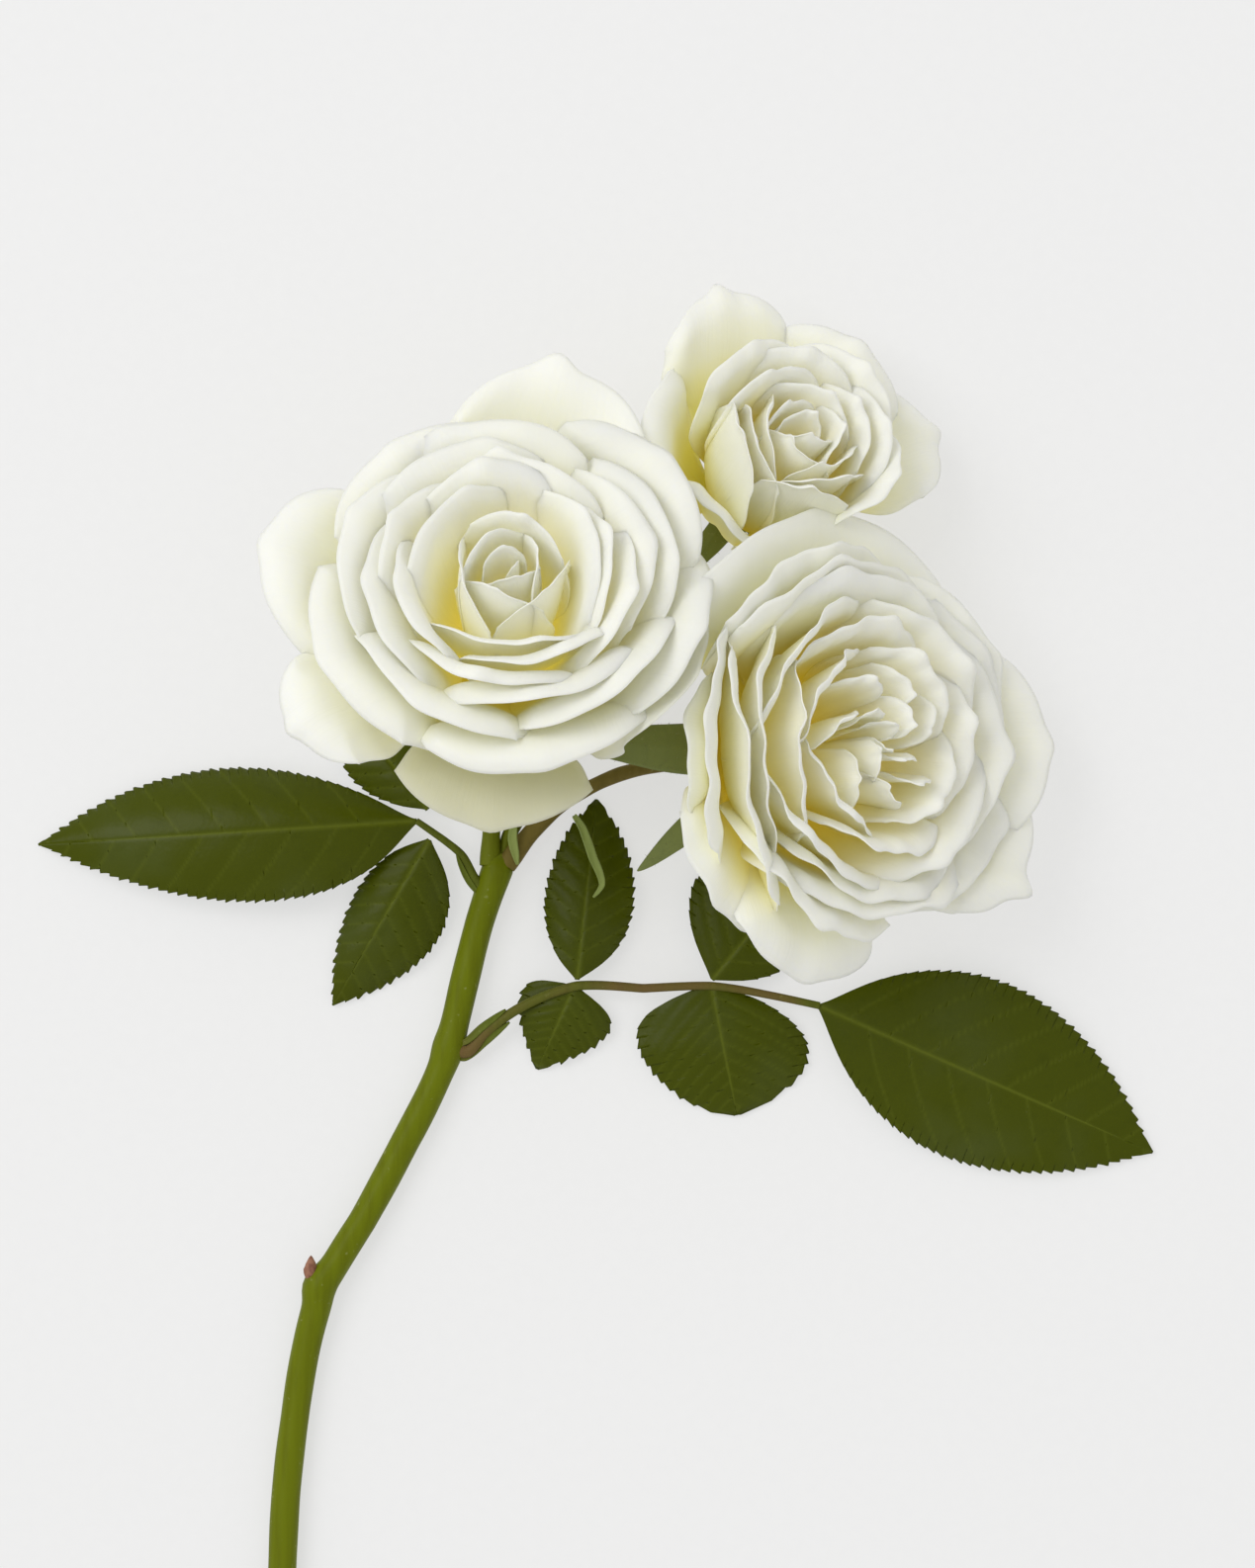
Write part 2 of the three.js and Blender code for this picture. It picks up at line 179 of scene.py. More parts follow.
def shell(middle: Array, thickness: Array, values: dict[str, Array]) -> Body:
    """Gives a sheet a thickness.

    Args:
        middle: The sheet's middle surface, rows by columns by three.
        thickness: The thickness at each of its points.
        values: Named numbers at each of its points. "front" is added: 1 on the side that a
            right-handed turn from columns to rows faces, 0 on the other.

    Returns:
        The closed body.
    """
    rows, columns = middle.shape[:2]
    normal = unit(np.cross(np.gradient(middle, axis=1), np.gradient(middle, axis=0)))
    offset = normal * (thickness / 2)[..., None]
    points = np.concatenate([(middle + offset).reshape(-1, 3), (middle - offset).reshape(-1, 3)])
    number = np.arange(rows * columns).reshape(rows, columns)
    back = number + rows * columns
    faces = quads(number[:-1, :-1], number[:-1, 1:], number[1:, 1:], number[1:, :-1])
    faces += quads(back[:-1, :-1], back[1:, :-1], back[1:, 1:], back[:-1, 1:])
    rim = np.concatenate([number[0, :-1], number[:-1, -1], number[-1, :0:-1], number[:0:-1, 0]])
    under = rim + rows * columns
    faces += quads(rim, under, np.roll(under, -1), np.roll(rim, -1))
    flat = {name: np.tile(value.reshape(-1), 2) for name, value in values.items()}
    flat["front"] = np.repeat([1.0, 0.0], rows * columns)
    return Body(points, faces, flat)


def tube_faces(rows: int, sides: int) -> list[tuple[int, ...]]:
    """Gives the faces of a closed tube of rings, counted round each ring and then up."""
    number = np.arange(rows * sides).reshape(rows, sides)
    following = np.roll(number, -1, axis=1)
    faces = quads(number[:-1], following[:-1], following[1:], number[1:])
    return [*faces, tuple(number[0, ::-1].tolist()), tuple(number[-1].tolist())]


def linked(name: str, data: bpy.types.ID) -> bpy.types.Object:
    """Makes an object that holds some data and links it to the scene."""
    made = bpy.data.objects.new(name, data)
    bpy.context.scene.collection.objects.link(made)
    return made


def mesh_object(name: str, body: Body) -> bpy.types.Object:
    """Makes a smooth object of a body, in metres, with a UV map of its "across" and "along" values.

    Args:
        name: The object's name.
        body: The body, in millimetres from the fork.

    Returns:
        The object, linked to the scene.
    """
    mesh = bpy.data.meshes.new(name)
    mesh.from_pydata((body.points * MM + FORK_IN_FRAME).tolist(), [], body.faces)
    mesh.shade_smooth()
    for key, value in body.values.items():
        attribute = mesh.attributes.new(key, "FLOAT", "POINT")
        attribute.data.foreach_set("value", np.asarray(value, dtype=np.float32))
    if {"across", "along"} <= body.values.keys():
        corners = np.empty(len(mesh.loops), dtype=np.int32)
        mesh.loops.foreach_get("vertex_index", corners)
        places = np.stack([body.values["across"], body.values["along"]], axis=-1)[corners]
        layer = mesh.uv_layers.new(name="UVMap")
        layer.data.foreach_set("uv", places.astype(np.float32).reshape(-1))
    mesh.update()
    return linked(name, mesh)


def hand_over(piece: bpy.types.Object, slot: Slot, finish: bpy.types.Material, *nodes: str) -> None:
    """Dresses a finished piece, hangs it under the root and hides the solids that it stands for.

    Args:
        piece: The object.
        slot: The record's slot that it takes its finish from. It is not used.
        finish: Its material.
        *nodes: The solids that it stands for, if any.
    """
    piece.data.materials.clear()
    piece.data.materials.append(finish)
    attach(piece, "root")
    if nodes:
        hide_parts(*nodes)
    LOG.info("%s: %d faces", piece.name, len(piece.data.polygons))


# ---- node trees ---------------------------------------------------------------------------------


class NodeTree:
    """A node tree under construction."""

    def __init__(self, tree: bpy.types.NodeTree) -> None:
        """Takes the tree to build in."""
        self.tree = tree

    def node(
        self,
        kind: str,
        settings: dict[str, object] | None = None,
        inputs: dict[str | int, object] | None = None,
    ) -> bpy.types.Node:
        """Adds a node.

        Args:
            kind: The node's type.
            settings: Its properties, which are set first.
            inputs: A value, a socket or a Value for each input, by name or number.

        Returns:
            The node.
        """
        made = self.tree.nodes.new(kind)
        for key, value in (settings or {}).items():
            setattr(made, key, value)
        for key, value in (inputs or {}).items():
            self.feed(made.inputs[key], value)
        return made

    def feed(self, socket: bpy.types.NodeSocket, value: object) -> None:
        """Links or sets a socket."""
        if isinstance(value, Value):
            value = value.socket
        if isinstance(value, bpy.types.NodeSocket):
            self.tree.links.new(value, socket)
        elif isinstance(value, tuple) and socket.type == "RGBA":
            socket.default_value = (*value, 1.0)
        else:
            socket.default_value = value


class GeometryTree(NodeTree):
    """A geometry node tree under construction, and the run of it on an object."""

    def __init__(self, name: str, inputs: dict[str, str]) -> None:
        """Starts the tree.

        Args:
            name: The tree's name.
            inputs: The kind of socket for each input: Float or Int.
        """
        super().__init__(bpy.data.node_groups.new(name, "GeometryNodeTree"))
        interface = self.tree.interface
        interface.new_socket(name="Geometry", in_out="INPUT", socket_type="NodeSocketGeometry")
        self.identifiers: dict[str, str] = {}
        for label, kind in inputs.items():
            socket = interface.new_socket(name=label, in_out="INPUT", socket_type=f"NodeSocket{kind}")
            self.identifiers[label] = socket.identifier
        interface.new_socket(name="Geometry", in_out="OUTPUT", socket_type="NodeSocketGeometry")
        self.start = self.tree.nodes.new("NodeGroupInput")

    def given(self, label: str) -> bpy.types.NodeSocket:
        """Gives the socket of one of the tree's inputs."""
        return self.start.outputs[label]

    def finish(self, geometry: bpy.types.NodeSocket) -> None:
        """Ends the tree, with instances made real."""
        real = self.node("GeometryNodeRealizeInstances", inputs={"Geometry": geometry})
        self.node("NodeGroupOutput", inputs={0: real.outputs[0]})

    def run(self, source: bpy.types.Object, name: str, values: dict[str, float | int]) -> bpy.types.Object:
        """Runs the tree on an object and takes the result as a plain mesh.

        Args:
            source: The object to run on. It is used up.
            name: The name of the result.
            values: A value for each input of the tree.

        Returns:
            The new object, without a modifier.
        """
        modifier = source.modifiers.new(name, "NODES")
        modifier.node_group = self.tree
        for label, value in values.items():
            modifier[self.identifiers[label]] = value
        evaluated = source.evaluated_get(bpy.context.evaluated_depsgraph_get())
        mesh = bpy.data.meshes.new_from_object(evaluated)
        bpy.data.objects.remove(source)
        mesh.name = name
        mesh.shade_smooth()
        return linked(name, mesh)


def stalk_tree() -> GeometryTree:
    """Builds the tree that sweeps a round section along paths.

    Each path is a line of vertices with their own "radius". The result keeps "along", from 0 at the
    start of its path to 1.

    Returns:
        The tree, with the inputs Step and Sides.
    """
    tree = GeometryTree("stalk", {"Step": "Float", "Sides": "Int"})
    curve = tree.node("GeometryNodeMeshToCurve", inputs={"Mesh": tree.given("Geometry")})
    bent = tree.node(
        "GeometryNodeCurveSplineType", {"spline_type": "CATMULL_ROM"}, {"Curve": curve.outputs[0]}
    )
    even = tree.node(
        "GeometryNodeResampleCurve",
        {"mode": "LENGTH"},
        {"Curve": bent.outputs[0], "Length": tree.given("Step")},
    )
    share = tree.node("GeometryNodeSplineParameter")
    marked = tree.node(
        "GeometryNodeStoreNamedAttribute",
        {"data_type": "FLOAT", "domain": "POINT"},
        {"Geometry": even.outputs[0], "Name": "along", "Value": share.outputs["Factor"]},
    )
    section = tree.node(
        "GeometryNodeCurvePrimitiveCircle", inputs={"Resolution": tree.given("Sides"), "Radius": 1.0}
    )
    radius = tree.node("GeometryNodeInputNamedAttribute", {"data_type": "FLOAT"}, {"Name": "radius"})
    swept = tree.node(
        "GeometryNodeCurveToMesh",
        inputs={
            "Curve": marked.outputs[0],
            "Profile Curve": section.outputs[0],
            "Scale": radius.outputs[0],
            "Fill Caps": True,
        },
    )
    tree.finish(swept.outputs[0])
    return tree


def hair_tree() -> GeometryTree:
    """Builds the tree that grows short hairs, uneven in length and lean, on the faces of a mesh.

    Returns:
        The tree, with the inputs Density, Length, Thickness and Seed. Only hairs come out.
    """
    tree = GeometryTree("hairs", {"Density": "Float", "Length": "Float", "Thickness": "Float", "Seed": "Int"})
    seed = tree.given("Seed")
    roots = tree.node(
        "GeometryNodeDistributePointsOnFaces",
        {"distribute_method": "RANDOM"},
        {"Mesh": tree.given("Geometry"), "Density": tree.given("Density"), "Seed": seed},
    )
    hair = tree.node(
        "GeometryNodeMeshCone",
        {"fill_type": "NGON"},
        {
            "Vertices": 5,
            "Side Segments": 2,
            "Radius Top": 0.0,
            "Radius Bottom": tree.given("Thickness"),
            "Depth": tree.given("Length"),
        },
    )
    least_lean, most_lean = (-0.45, -0.45, -3.1), (0.45, 0.45, 3.1)
    leaning = tree.node(
        "FunctionNodeRandomValue", {"data_type": "FLOAT_VECTOR"}, {0: least_lean, 1: most_lean, "Seed": seed}
    )
    turned = tree.node(
        "FunctionNodeRotateRotation",
        {"rotation_space": "LOCAL"},
        {"Rotation": roots.outputs["Rotation"], "Rotate By": leaning.outputs[0]},
    )
    shortest, longest = 0.55, 1.2
    size = tree.node(
        "FunctionNodeRandomValue", {"data_type": "FLOAT"}, {2: shortest, 3: longest, "Seed": seed}
    )
    grown = tree.node(
        "GeometryNodeInstanceOnPoints",
        inputs={
            "Points": roots.outputs["Points"],
            "Instance": hair.outputs["Mesh"],
            "Rotation": turned.outputs[0],
            "Scale": size.outputs[1],
        },
    )
    tree.finish(grown.outputs[0])
    return tree


def path_object(paths: Sequence[Array], radii: Sequence[Array]) -> bpy.types.Object:
    """Makes the object that the stalk tree runs on.

    Args:
        paths: The points of each path, in millimetres from the fork.
        radii: The radius at each of those points, in millimetres.

    Returns:
        A mesh of vertices and edges, with the radius of each vertex in metres.
    """
    edges: list[tuple[int, int]] = []
    count = 0
    for path in paths:
        edges += [(count + place, count + place + 1) for place in range(len(path) - 1)]
        count += len(path)
    mesh = bpy.data.meshes.new("path")
    mesh.from_pydata((np.concatenate(paths) * MM + FORK_IN_FRAME).tolist(), edges, [])
    attribute = mesh.attributes.new("radius", "FLOAT", "POINT")
    attribute.data.foreach_set("value", (np.concatenate(radii) * MM).astype(np.float32))
    return linked("path", mesh)


def travelled(points: Array) -> Array:
    """Gives the distance from the first point to each, along the line through them."""
    return np.concatenate([[0], np.cumsum(np.linalg.norm(np.diff(points, axis=0), axis=1))])


def smooth_path(points: Sequence[Sequence[float]], step: float) -> Array:
    """Runs a smooth curve through points.

    Args:
        points: The points, in millimetres.
        step: The distance between the points of the result.

    Returns:
        Points on a centripetal Catmull-Rom curve, evenly spaced.
    """
    knots = np.array(points, dtype=float)
    knots = np.vstack([2 * knots[0] - knots[1], knots, 2 * knots[-1] - knots[-2]])
    dense: list[Array] = []
    fineness = 24
    for place in range(1, len(knots) - 2):
        ends = knots[place - 1 : place + 3]
        times = np.concatenate([[0], np.cumsum(np.linalg.norm(np.diff(ends, axis=0), axis=1) ** 0.5)])
        for time in np.linspace(times[1], times[2], fineness, endpoint=False):
            level = ends
            for depth in range(1, 4):
                low, high = times[: 4 - depth], times[depth:]
                level = level[:-1] * (high - time)[:, None] + level[1:] * (time - low)[:, None]
                level = level / (high - low)[:, None]
            dense.append(level[0])
    dense.append(knots[-2])
    curve = np.array(dense)
    lengths = travelled(curve)
    places = np.linspace(0, lengths[-1], max(3, int(lengths[-1] / step) + 1))
    return np.stack([np.interp(places, lengths, curve[:, axis]) for axis in range(3)], axis=-1)


# ---- shaders ------------------------------------------------------------------------------------

Number = Union[float, "Value"]
Colour = tuple[float, float, float]


class Value:
    """A shader socket that takes part in arithmetic: an expression adds its Math nodes."""

    def __init__(self, shader: "Shader", socket: bpy.types.NodeSocket) -> None:
        """Wraps a socket of a shader."""
        self.shader = shader
        self.socket = socket

    def _math(self, operation: str, first: Number, second: Number = 0.0) -> "Value":
        """Adds a Math node for two numbers or sockets."""
        made = self.shader.node("ShaderNodeMath", {"operation": operation}, {0: first, 1: second})
        return Value(self.shader, made.outputs[0])

    def __add__(self, other: Number) -> "Value":
        """Adds."""
        return self._math("ADD", self, other)

    __radd__ = __add__

    def __sub__(self, other: Number) -> "Value":
        """Subtracts from this."""
        return self._math("SUBTRACT", self, other)

    def __rsub__(self, other: Number) -> "Value":
        """Subtracts this from a number."""
        return self._math("SUBTRACT", other, self)

    def __mul__(self, other: Number) -> "Value":
        """Multiplies."""
        return self._math("MULTIPLY", self, other)

    __rmul__ = __mul__

    def between(self, low: float, high: float) -> "Value":
        """Rises smoothly from 0 at low to 1 at high."""
        made = self.shader.node(
            "ShaderNodeMapRange",
            {"interpolation_type": "SMOOTHSTEP"},
            {"Value": self, "From Min": low, "From Max": high},
        )
        return Value(self.shader, made.outputs[0])


class Shader(NodeTree):
    """A material under construction, with one Principled surface."""

    def __init__(self, name: str, **surface: object) -> None:
        """Starts the material.

        Args:
            name: The material's name.
            **surface: Constant values of the surface's sockets, with _ for each space.
        """
        self.material = bpy.data.materials.new(name)
        self.material.use_nodes = True
        super().__init__(self.material.node_tree)
        self.surface = self.tree.nodes["Principled BSDF"]
        for key, value in surface.items():
            self.surface.inputs[key.replace("_", " ")].default_value = value

    def attribute(self, name: str) -> Value:
        """Reads one of the piece's own named numbers."""
        made = self.node("ShaderNodeAttribute", {"attribute_name": name})
        return Value(self, made.outputs["Fac"])

    def place(self, *scale: float) -> bpy.types.NodeSocket:
        """Gives the object's coordinates, scaled by three numbers if they are given."""
        source = self.node("ShaderNodeTexCoord")
        inputs = {"Vector": source.outputs["Object"], "Scale": scale or (1, 1, 1)}
        return self.node("ShaderNodeMapping", inputs=inputs).outputs[0]

    def place_on_sheet(self, across: float, along: float) -> bpy.types.NodeSocket:
        """Gives the place on the piece's UV map, scaled."""
        source = self.node("ShaderNodeTexCoord")
        inputs = {"Vector": source.outputs["UV"], "Scale": (across, along, 1.0)}
        return self.node("ShaderNodeMapping", inputs=inputs).outputs[0]

    def noise(self, where: bpy.types.NodeSocket, scale: float, detail: float = 3.0) -> Value:
        """Gives soft noise between 0 and 1."""
        made = self.node("ShaderNodeTexNoise", inputs={"Vector": where, "Scale": scale, "Detail": detail})
        return Value(self, made.outputs["Fac"])

    def ramp(self, share: Value, *stops: tuple[float, Colour]) -> bpy.types.NodeSocket:
        """Turns a share into a colour between stops."""
        made = self.node("ShaderNodeValToRGB", inputs={0: share})
        elements = made.color_ramp.elements
        while len(elements) < len(stops):
            elements.new(1.0)
        for element, (place, colour) in zip(elements, stops):
            element.position = place
            element.color = (*colour, 1.0)
        return made.outputs[0]

    def mix(self, share: Number, first: object, second: object) -> bpy.types.NodeSocket:
        """Mixes two colours by a share of the second."""
        made = self.node("ShaderNodeMix", {"data_type": "RGBA"}, {0: share, 6: first, 7: second})
        return made.outputs[2]

    def bump(self, height: Value, strength: float, distance: float, over: object = None) -> object:
        """Raises the surface by a height, over another bump if one is given."""
        inputs = {"Height": height, "Strength": strength, "Distance": distance}
        if over is not None:
            inputs["Normal"] = over
        return self.node("ShaderNodeBump", inputs=inputs).outputs[0]

    def dress(self, **sockets: object) -> bpy.types.Material:
        """Feeds the surface's sockets, with _ for each space, and gives the material."""
        for key, value in sockets.items():
            self.feed(self.surface.inputs[key.replace("_", " ")], value)
        return self.material


@dataclass(frozen=True)
class PetalFinish:
    """A soft white petal: yellow-green at its claw, cream above, white at the rim.

    Attributes:
        name: The material's name.
        claw: The colour where the petal leaves the receptacle.
        throat: The colour a third of the way up.
        blade: The colour of most of the petal.
        rim: The colour of its lip.
        painted_glow: Painted light: emitted light in its depths that stands in for light coming through the
            petals around it.
    """

    name: str
    claw: Colour = (0.72, 0.64, 0.06)
    throat: Colour = (0.90, 0.81, 0.24)
    blade: Colour = (0.90, 0.895, 0.71)
    rim: Colour = (0.91, 0.915, 0.83)
    painted_glow: Colour = (0.022, 0.018, 0.002)

    VEIN = (0.74, 0.76, 0.45)
    OUTSIDE = (0.62, 0.66, 0.36)
    # The colour of painted shade, for petals that lie in shadow.
    PAINTED_SHADE = (0.57, 0.56, 0.41)
    DARK = (0.0, 0.0, 0.0)

    def material(self) -> bpy.types.Material:
        """Makes the material."""
        shader = Shader(
            self.name,
            Roughness=0.55,
            Subsurface_Weight=0.35,
            Subsurface_Radius=(1.0, 0.95, 0.6),
            Subsurface_Scale=0.002,
            Specular_IOR_Level=0.25,
            Sheen_Weight=0.08,
            Emission_Strength=1.0,
        )
        along = shader.attribute("along")
        cloud = shader.noise(shader.place(), 90, 2)
        height = along + 0.16 * (cloud - 0.5)
        claw, throat, blade, rim = (0.0, self.claw), (0.3, self.throat), (0.62, self.blade), (0.95, self.rim)
        base = shader.ramp(height, claw, throat, blade, rim)
        veins = shader.noise(shader.place_on_sheet(34, 1.6), 1.6, 3)
        streak = veins.between(0.5, 0.75) * (1 - along) * 0.28
        colour = shader.mix(streak, base, self.VEIN)
        outside = 1 - shader.attribute("inside")
        low = 1 - along.between(0.35, 0.95)
        colour = shader.mix(outside * low * 0.35, colour, self.OUTSIDE)
        # Painted shade: petals marked with it are greyed and greened as if they lay in shadow.
        colour = shader.mix(shader.attribute("shade"), colour, self.PAINTED_SHADE)
        ribs = shader.bump(veins, 0.16, 0.0004)
        grain = shader.noise(shader.place(), 1400, 2)
        normal = shader.bump(grain, 0.05, 0.0002, ribs)
        # Painted light: emitted light, strongest low in the petal and none at the rim, stands in for light
        # coming through the petals around it.
        faint_painted_glow = tuple(0.35 * channel + 0.004 for channel in self.painted_glow)
        painted_glow = shader.ramp(height, (0.3, self.painted_glow), (0.7, faint_painted_glow), (0.95, self.DARK))
        material = shader.dress(Base_Color=colour, Normal=normal, Emission_Color=painted_glow)
        material.cycles.emission_sampling = "NONE"
        return material


@dataclass(frozen=True)
class LeafFinish:
    """A leathery dark leaf with pale veins, glossier above and greyer below.

    Attributes:
        name: The material's name.
        blade: The main colour of the upper side.
        painted_sheen: The colour of its painted highlights, lighter patches where gloss would catch the
            light.
        mottle: The colour of its small dark spots.
        vein: The colour of its veins.
        under: The main colour of the lower side.
        under_mottle: The colour of its spots.
        under_vein: The colour of its veins.
    """

    name: str = "rose_leaf"
    blade: Colour = (0.054, 0.067, 0.0)
    painted_sheen: Colour = (0.070, 0.088, 0.022)
    mottle: Colour = (0.040, 0.052, 0.0)
    vein: Colour = (0.125, 0.15, 0.012)
    under: Colour = (0.075, 0.11, 0.03)
    under_mottle: Colour = (0.06, 0.1, 0.03)
    under_vein: Colour = (0.2, 0.25, 0.1)

    def material(self) -> bpy.types.Material:
        """Makes the material."""
        shader = Shader(self.name, Specular_IOR_Level=0.1)
        where = shader.place()
        patches = shader.noise(where, 55, 3)
        mottle = shader.noise(where, 420, 4)
        vein = shader.attribute("vein")
        front = shader.attribute("front")
        # Painted highlights: lighter patches on the upper side stand in for gloss that catches the light; the
        # same patches are less rough.
        above = shader.mix(patches.between(0.45, 0.8) * 0.55, self.blade, self.painted_sheen)
        above = shader.mix(mottle.between(0.5, 0.8) * 0.35, above, self.mottle)
        above = shader.mix(vein * 0.75, above, self.vein)
        below = shader.mix(vein * 0.5, self.under, self.under_vein)
        below = shader.mix(mottle.between(0.4, 0.8) * 0.3, below, self.under_mottle)
        colour = shader.mix(front, below, above)
        roughness = 0.62 - front * (0.22 + 0.12 * patches)
        fine = shader.node(
            "ShaderNodeTexVoronoi", {"feature": "DISTANCE_TO_EDGE"}, {"Vector": where, "Scale": 900.0}
        )
        cells = shader.bump(Value(shader, fine.outputs[0]), 0.12, 0.0003)
        normal = shader.bump(mottle, 0.12, 0.0004, cells)
        return shader.dress(Base_Color=colour, Roughness=roughness, Normal=normal)


@dataclass(frozen=True)
class SkinFinish:
    """The skin of a stalk or calyx: streaks along it, a flush, and paler where its "pale" value says.

    Attributes:
        name: The material's name.
        green: The main colour.
        dark: The colour of its streaks.
        flush: The colour of the flush.
        flushed: How much of the surface is flushed, 0 to 1.
        roughness: The roughness.
    """

    name: str
    green: Colour
    dark: Colour
    flush: Colour
    flushed: float = 0.2
    roughness: float = 0.5

    SPECK = (0.3, 0.32, 0.12)
    PALE = (0.25, 0.28, 0.15)

    def material(self) -> bpy.types.Material:
        """Makes the material."""
        shader = Shader(self.name, Specular_IOR_Level=0.08)
        where = shader.place()
        streaks = shader.noise(shader.place(900, 60, 900), 1.0, 3)
        patches = shader.noise(where, 38, 3)
        specks = shader.noise(where, 900, 2)
        colour = shader.mix(streaks.between(0.35, 0.8) * 0.5, self.green, self.dark)
        share = patches.between(0.75 - 0.5 * self.flushed, 0.95 - 0.4 * self.flushed)
        colour = shader.mix(share * 0.8, colour, self.flush)
        colour = shader.mix(specks.between(0.68, 0.8) * 0.5, colour, self.SPECK)
        colour = shader.mix(shader.attribute("pale") * 0.45, colour, self.PALE)
        roughness = self.roughness + 0.15 * (streaks - 0.5)
        normal = shader.bump(streaks, 0.2, 0.0004)
        normal = shader.bump(specks, 0.15, 0.0002, normal)
        return shader.dress(Base_Color=colour, Roughness=roughness, Normal=normal)


@dataclass(frozen=True)
class PlainFinish:
    """A matte finish of two mottled colours.

    Attributes:
        name: The material's name.
        light: The lighter colour.
        dark: The darker colour.
        grain: How fine the mottle is.
    """

    name: str
    light: Colour
    dark: Colour
    grain: float = 600.0

    def material(self) -> bpy.types.Material:
        """Makes the material."""
        shader = Shader(self.name, Roughness=0.7, Specular_IOR_Level=0.3)
        mottle = shader.noise(shader.place(), self.grain, 4)
        colour = shader.mix(mottle.between(0.35, 0.7), self.light, self.dark)
        normal = shader.bump(mottle, 0.3, 0.0003)
        return shader.dress(Base_Color=colour, Normal=normal)


# ---- petals -------------------------------------------------------------------------------------


@dataclass(frozen=True)
class Petal:
    """One petal, in its bloom's frame, in millimetres and degrees.

    Attributes:
        azimuth: The side of the bloom that it grows on.
        spread: Its half width, as an angle about the bloom's axis.
        reach: The radius of its lip.
        rise: The height of its lip over the receptacle.
        slope: The lip's slope above the horizontal, before the rim rolls.
        whorl: Its place outwards: 0 for the inner whorl, 1 outer, 2 guard, negative in the heart.
        ramp: How far one side stands out and the other in.
        rounding: How much shorter the petal is at its sides, as a share.
        narrowing: How much narrower it is at its top, as a share.
        flat: How much flatter than a round cup, 0 to 1.
        lip: The width of the rim that rolls.
        turn: How far the tip's rim rolls back.
        side_turn: How far the sides' rims roll back.
        point: How far the tip stands out beyond the lip, as a share.
        tip: Where the tip is, -1 to 1 across.
        crease: The depth of the fold along the middle.
        ruffle: The height of the waves in the rim.
        waves: How many waves there are.
        fullness: How far it bellies out below its lip, as a multiple of the reach.
        shade: How much painted shade greys and greens it, as if it lay in shadow, 0 to 1.
        seed: Picks its unevenness.
    """

    azimuth: float
    spread: float
    reach: float
    rise: float
    slope: float
    whorl: float = 0
    ramp: float = 0.75
    rounding: float = 0.16
    narrowing: float = 0.22
    flat: float = 0.25
    lip: float = 6.0
    turn: float = 55
    side_turn: float = 45
    point: float = 0.03
    tip: float = 0.0
    crease: float = 0.0
    ruffle: float = 0.2
    waves: float = 1.6
    fullness: float = 1.35
    shade: float = 0.0
    seed: int = 0

    THICKNESS = 0.38
    RIM_THICKNESS = 0.14
    CLAW_RADIUS = 2.6
    CLAW_STEP = 1.5
    CLAW_DROP = 0.5
    CLAW_SHARE = 0.42
    CLAW_DIRECTION = np.array([0.96, 0.28])
    CLAW_LENGTH = 0.42
    LIP_LENGTH = 0.3
    CORNER = 1.2
    LEAST_TURN = 0.02
    WAVE_REACH = 3.2
    SWELL = 0.011

    def _profile(self, share: Array) -> tuple[Array, Array, Array, Array]:
        """Gives the radius and height at shares of the length, and the unit tangent there."""
        radius = min(self.CLAW_RADIUS + self.CLAW_STEP * self.whorl, 0.45 * self.reach)
        start = np.array([max(radius, 0.5), -self.CLAW_DROP * self.whorl])
        lip = np.array([self.reach, self.rise])
        out = float(np.hypot(*lip))
        claw = start + self.CLAW_DIRECTION * self.CLAW_LENGTH * min(out, self.fullness * self.reach)
        slope = math.radians(self.slope)
        curl = lip - np.array([math.cos(slope), math.sin(slope)]) * self.LIP_LENGTH * out
        t = share[..., None]
        point = start * (1 - t) ** 3 + 3 * claw * t * (1 - t) ** 2 + 3 * curl * t * t * (1 - t) + lip * t**3
        tangent = (claw - start) * (1 - t) ** 2 + 2 * (curl - claw) * t * (1 - t) + (lip - curl) * t * t
        tangent = unit(tangent)
        return point[..., 0], point[..., 1], tangent[..., 0], tangent[..., 1]

    def body(self, columns: int = 31, rows: int = 35) -> Body:
        """Builds the petal.

        Args:
            columns: How many points across.
            rows: How many points along.

        Returns:
            The closed body, in the bloom's frame.
        """
        chance = np.random.default_rng(self.seed)
        u, v = np.meshgrid(np.linspace(-1, 1, columns), np.linspace(0, 1, rows))
        tip = np.exp(-(((u - self.tip) / 0.14) ** 2))
        limit = 1 - self.rounding * np.abs(u) ** 2.4 + self.point * tip
        share = v * limit
        radius, height, out, up = self._profile(share)
        widening = np.sin(math.pi / 2 * np.minimum(1, 1.5 * share))
        width = self.CLAW_SHARE + (1 - self.CLAW_SHARE) * widening
        width = width * (1 - self.narrowing * smooth(0.55, 1.0, v) ** 1.5)
        turn = math.radians(self.spread) * width * u
        bent = np.minimum(np.abs(turn), 1.15)
        radius = radius * (1 + self.flat * (1 / np.cos(bent) - 1))
        lean = self.ramp * u * np.minimum(1, 3.5 * share)
        fold = -self.crease * np.exp(-((u / 0.2) ** 2)) * smooth(0.3, 0.9, v)
        radius = radius + (lean + fold) * up
        height = height - (lean + fold) * out
        angle = math.radians(self.azimuth) + turn
        sheet = np.stack([radius * np.cos(angle), radius * np.sin(angle), height], axis=-1)
        sheet = self._rolled(sheet, u, v, chance)
        edge = self._rim_distance(sheet, u, v)
        thickness = self.RIM_THICKNESS + (self.THICKNESS - self.RIM_THICKNESS) * smooth(0, 3, edge)
        values = {"across": (u + 1) / 2, "along": v, "shade": np.full_like(v, self.shade)}
        body = shell(sheet, thickness, values)
        body.values["inside"] = 1 - body.values["front"]
        return body

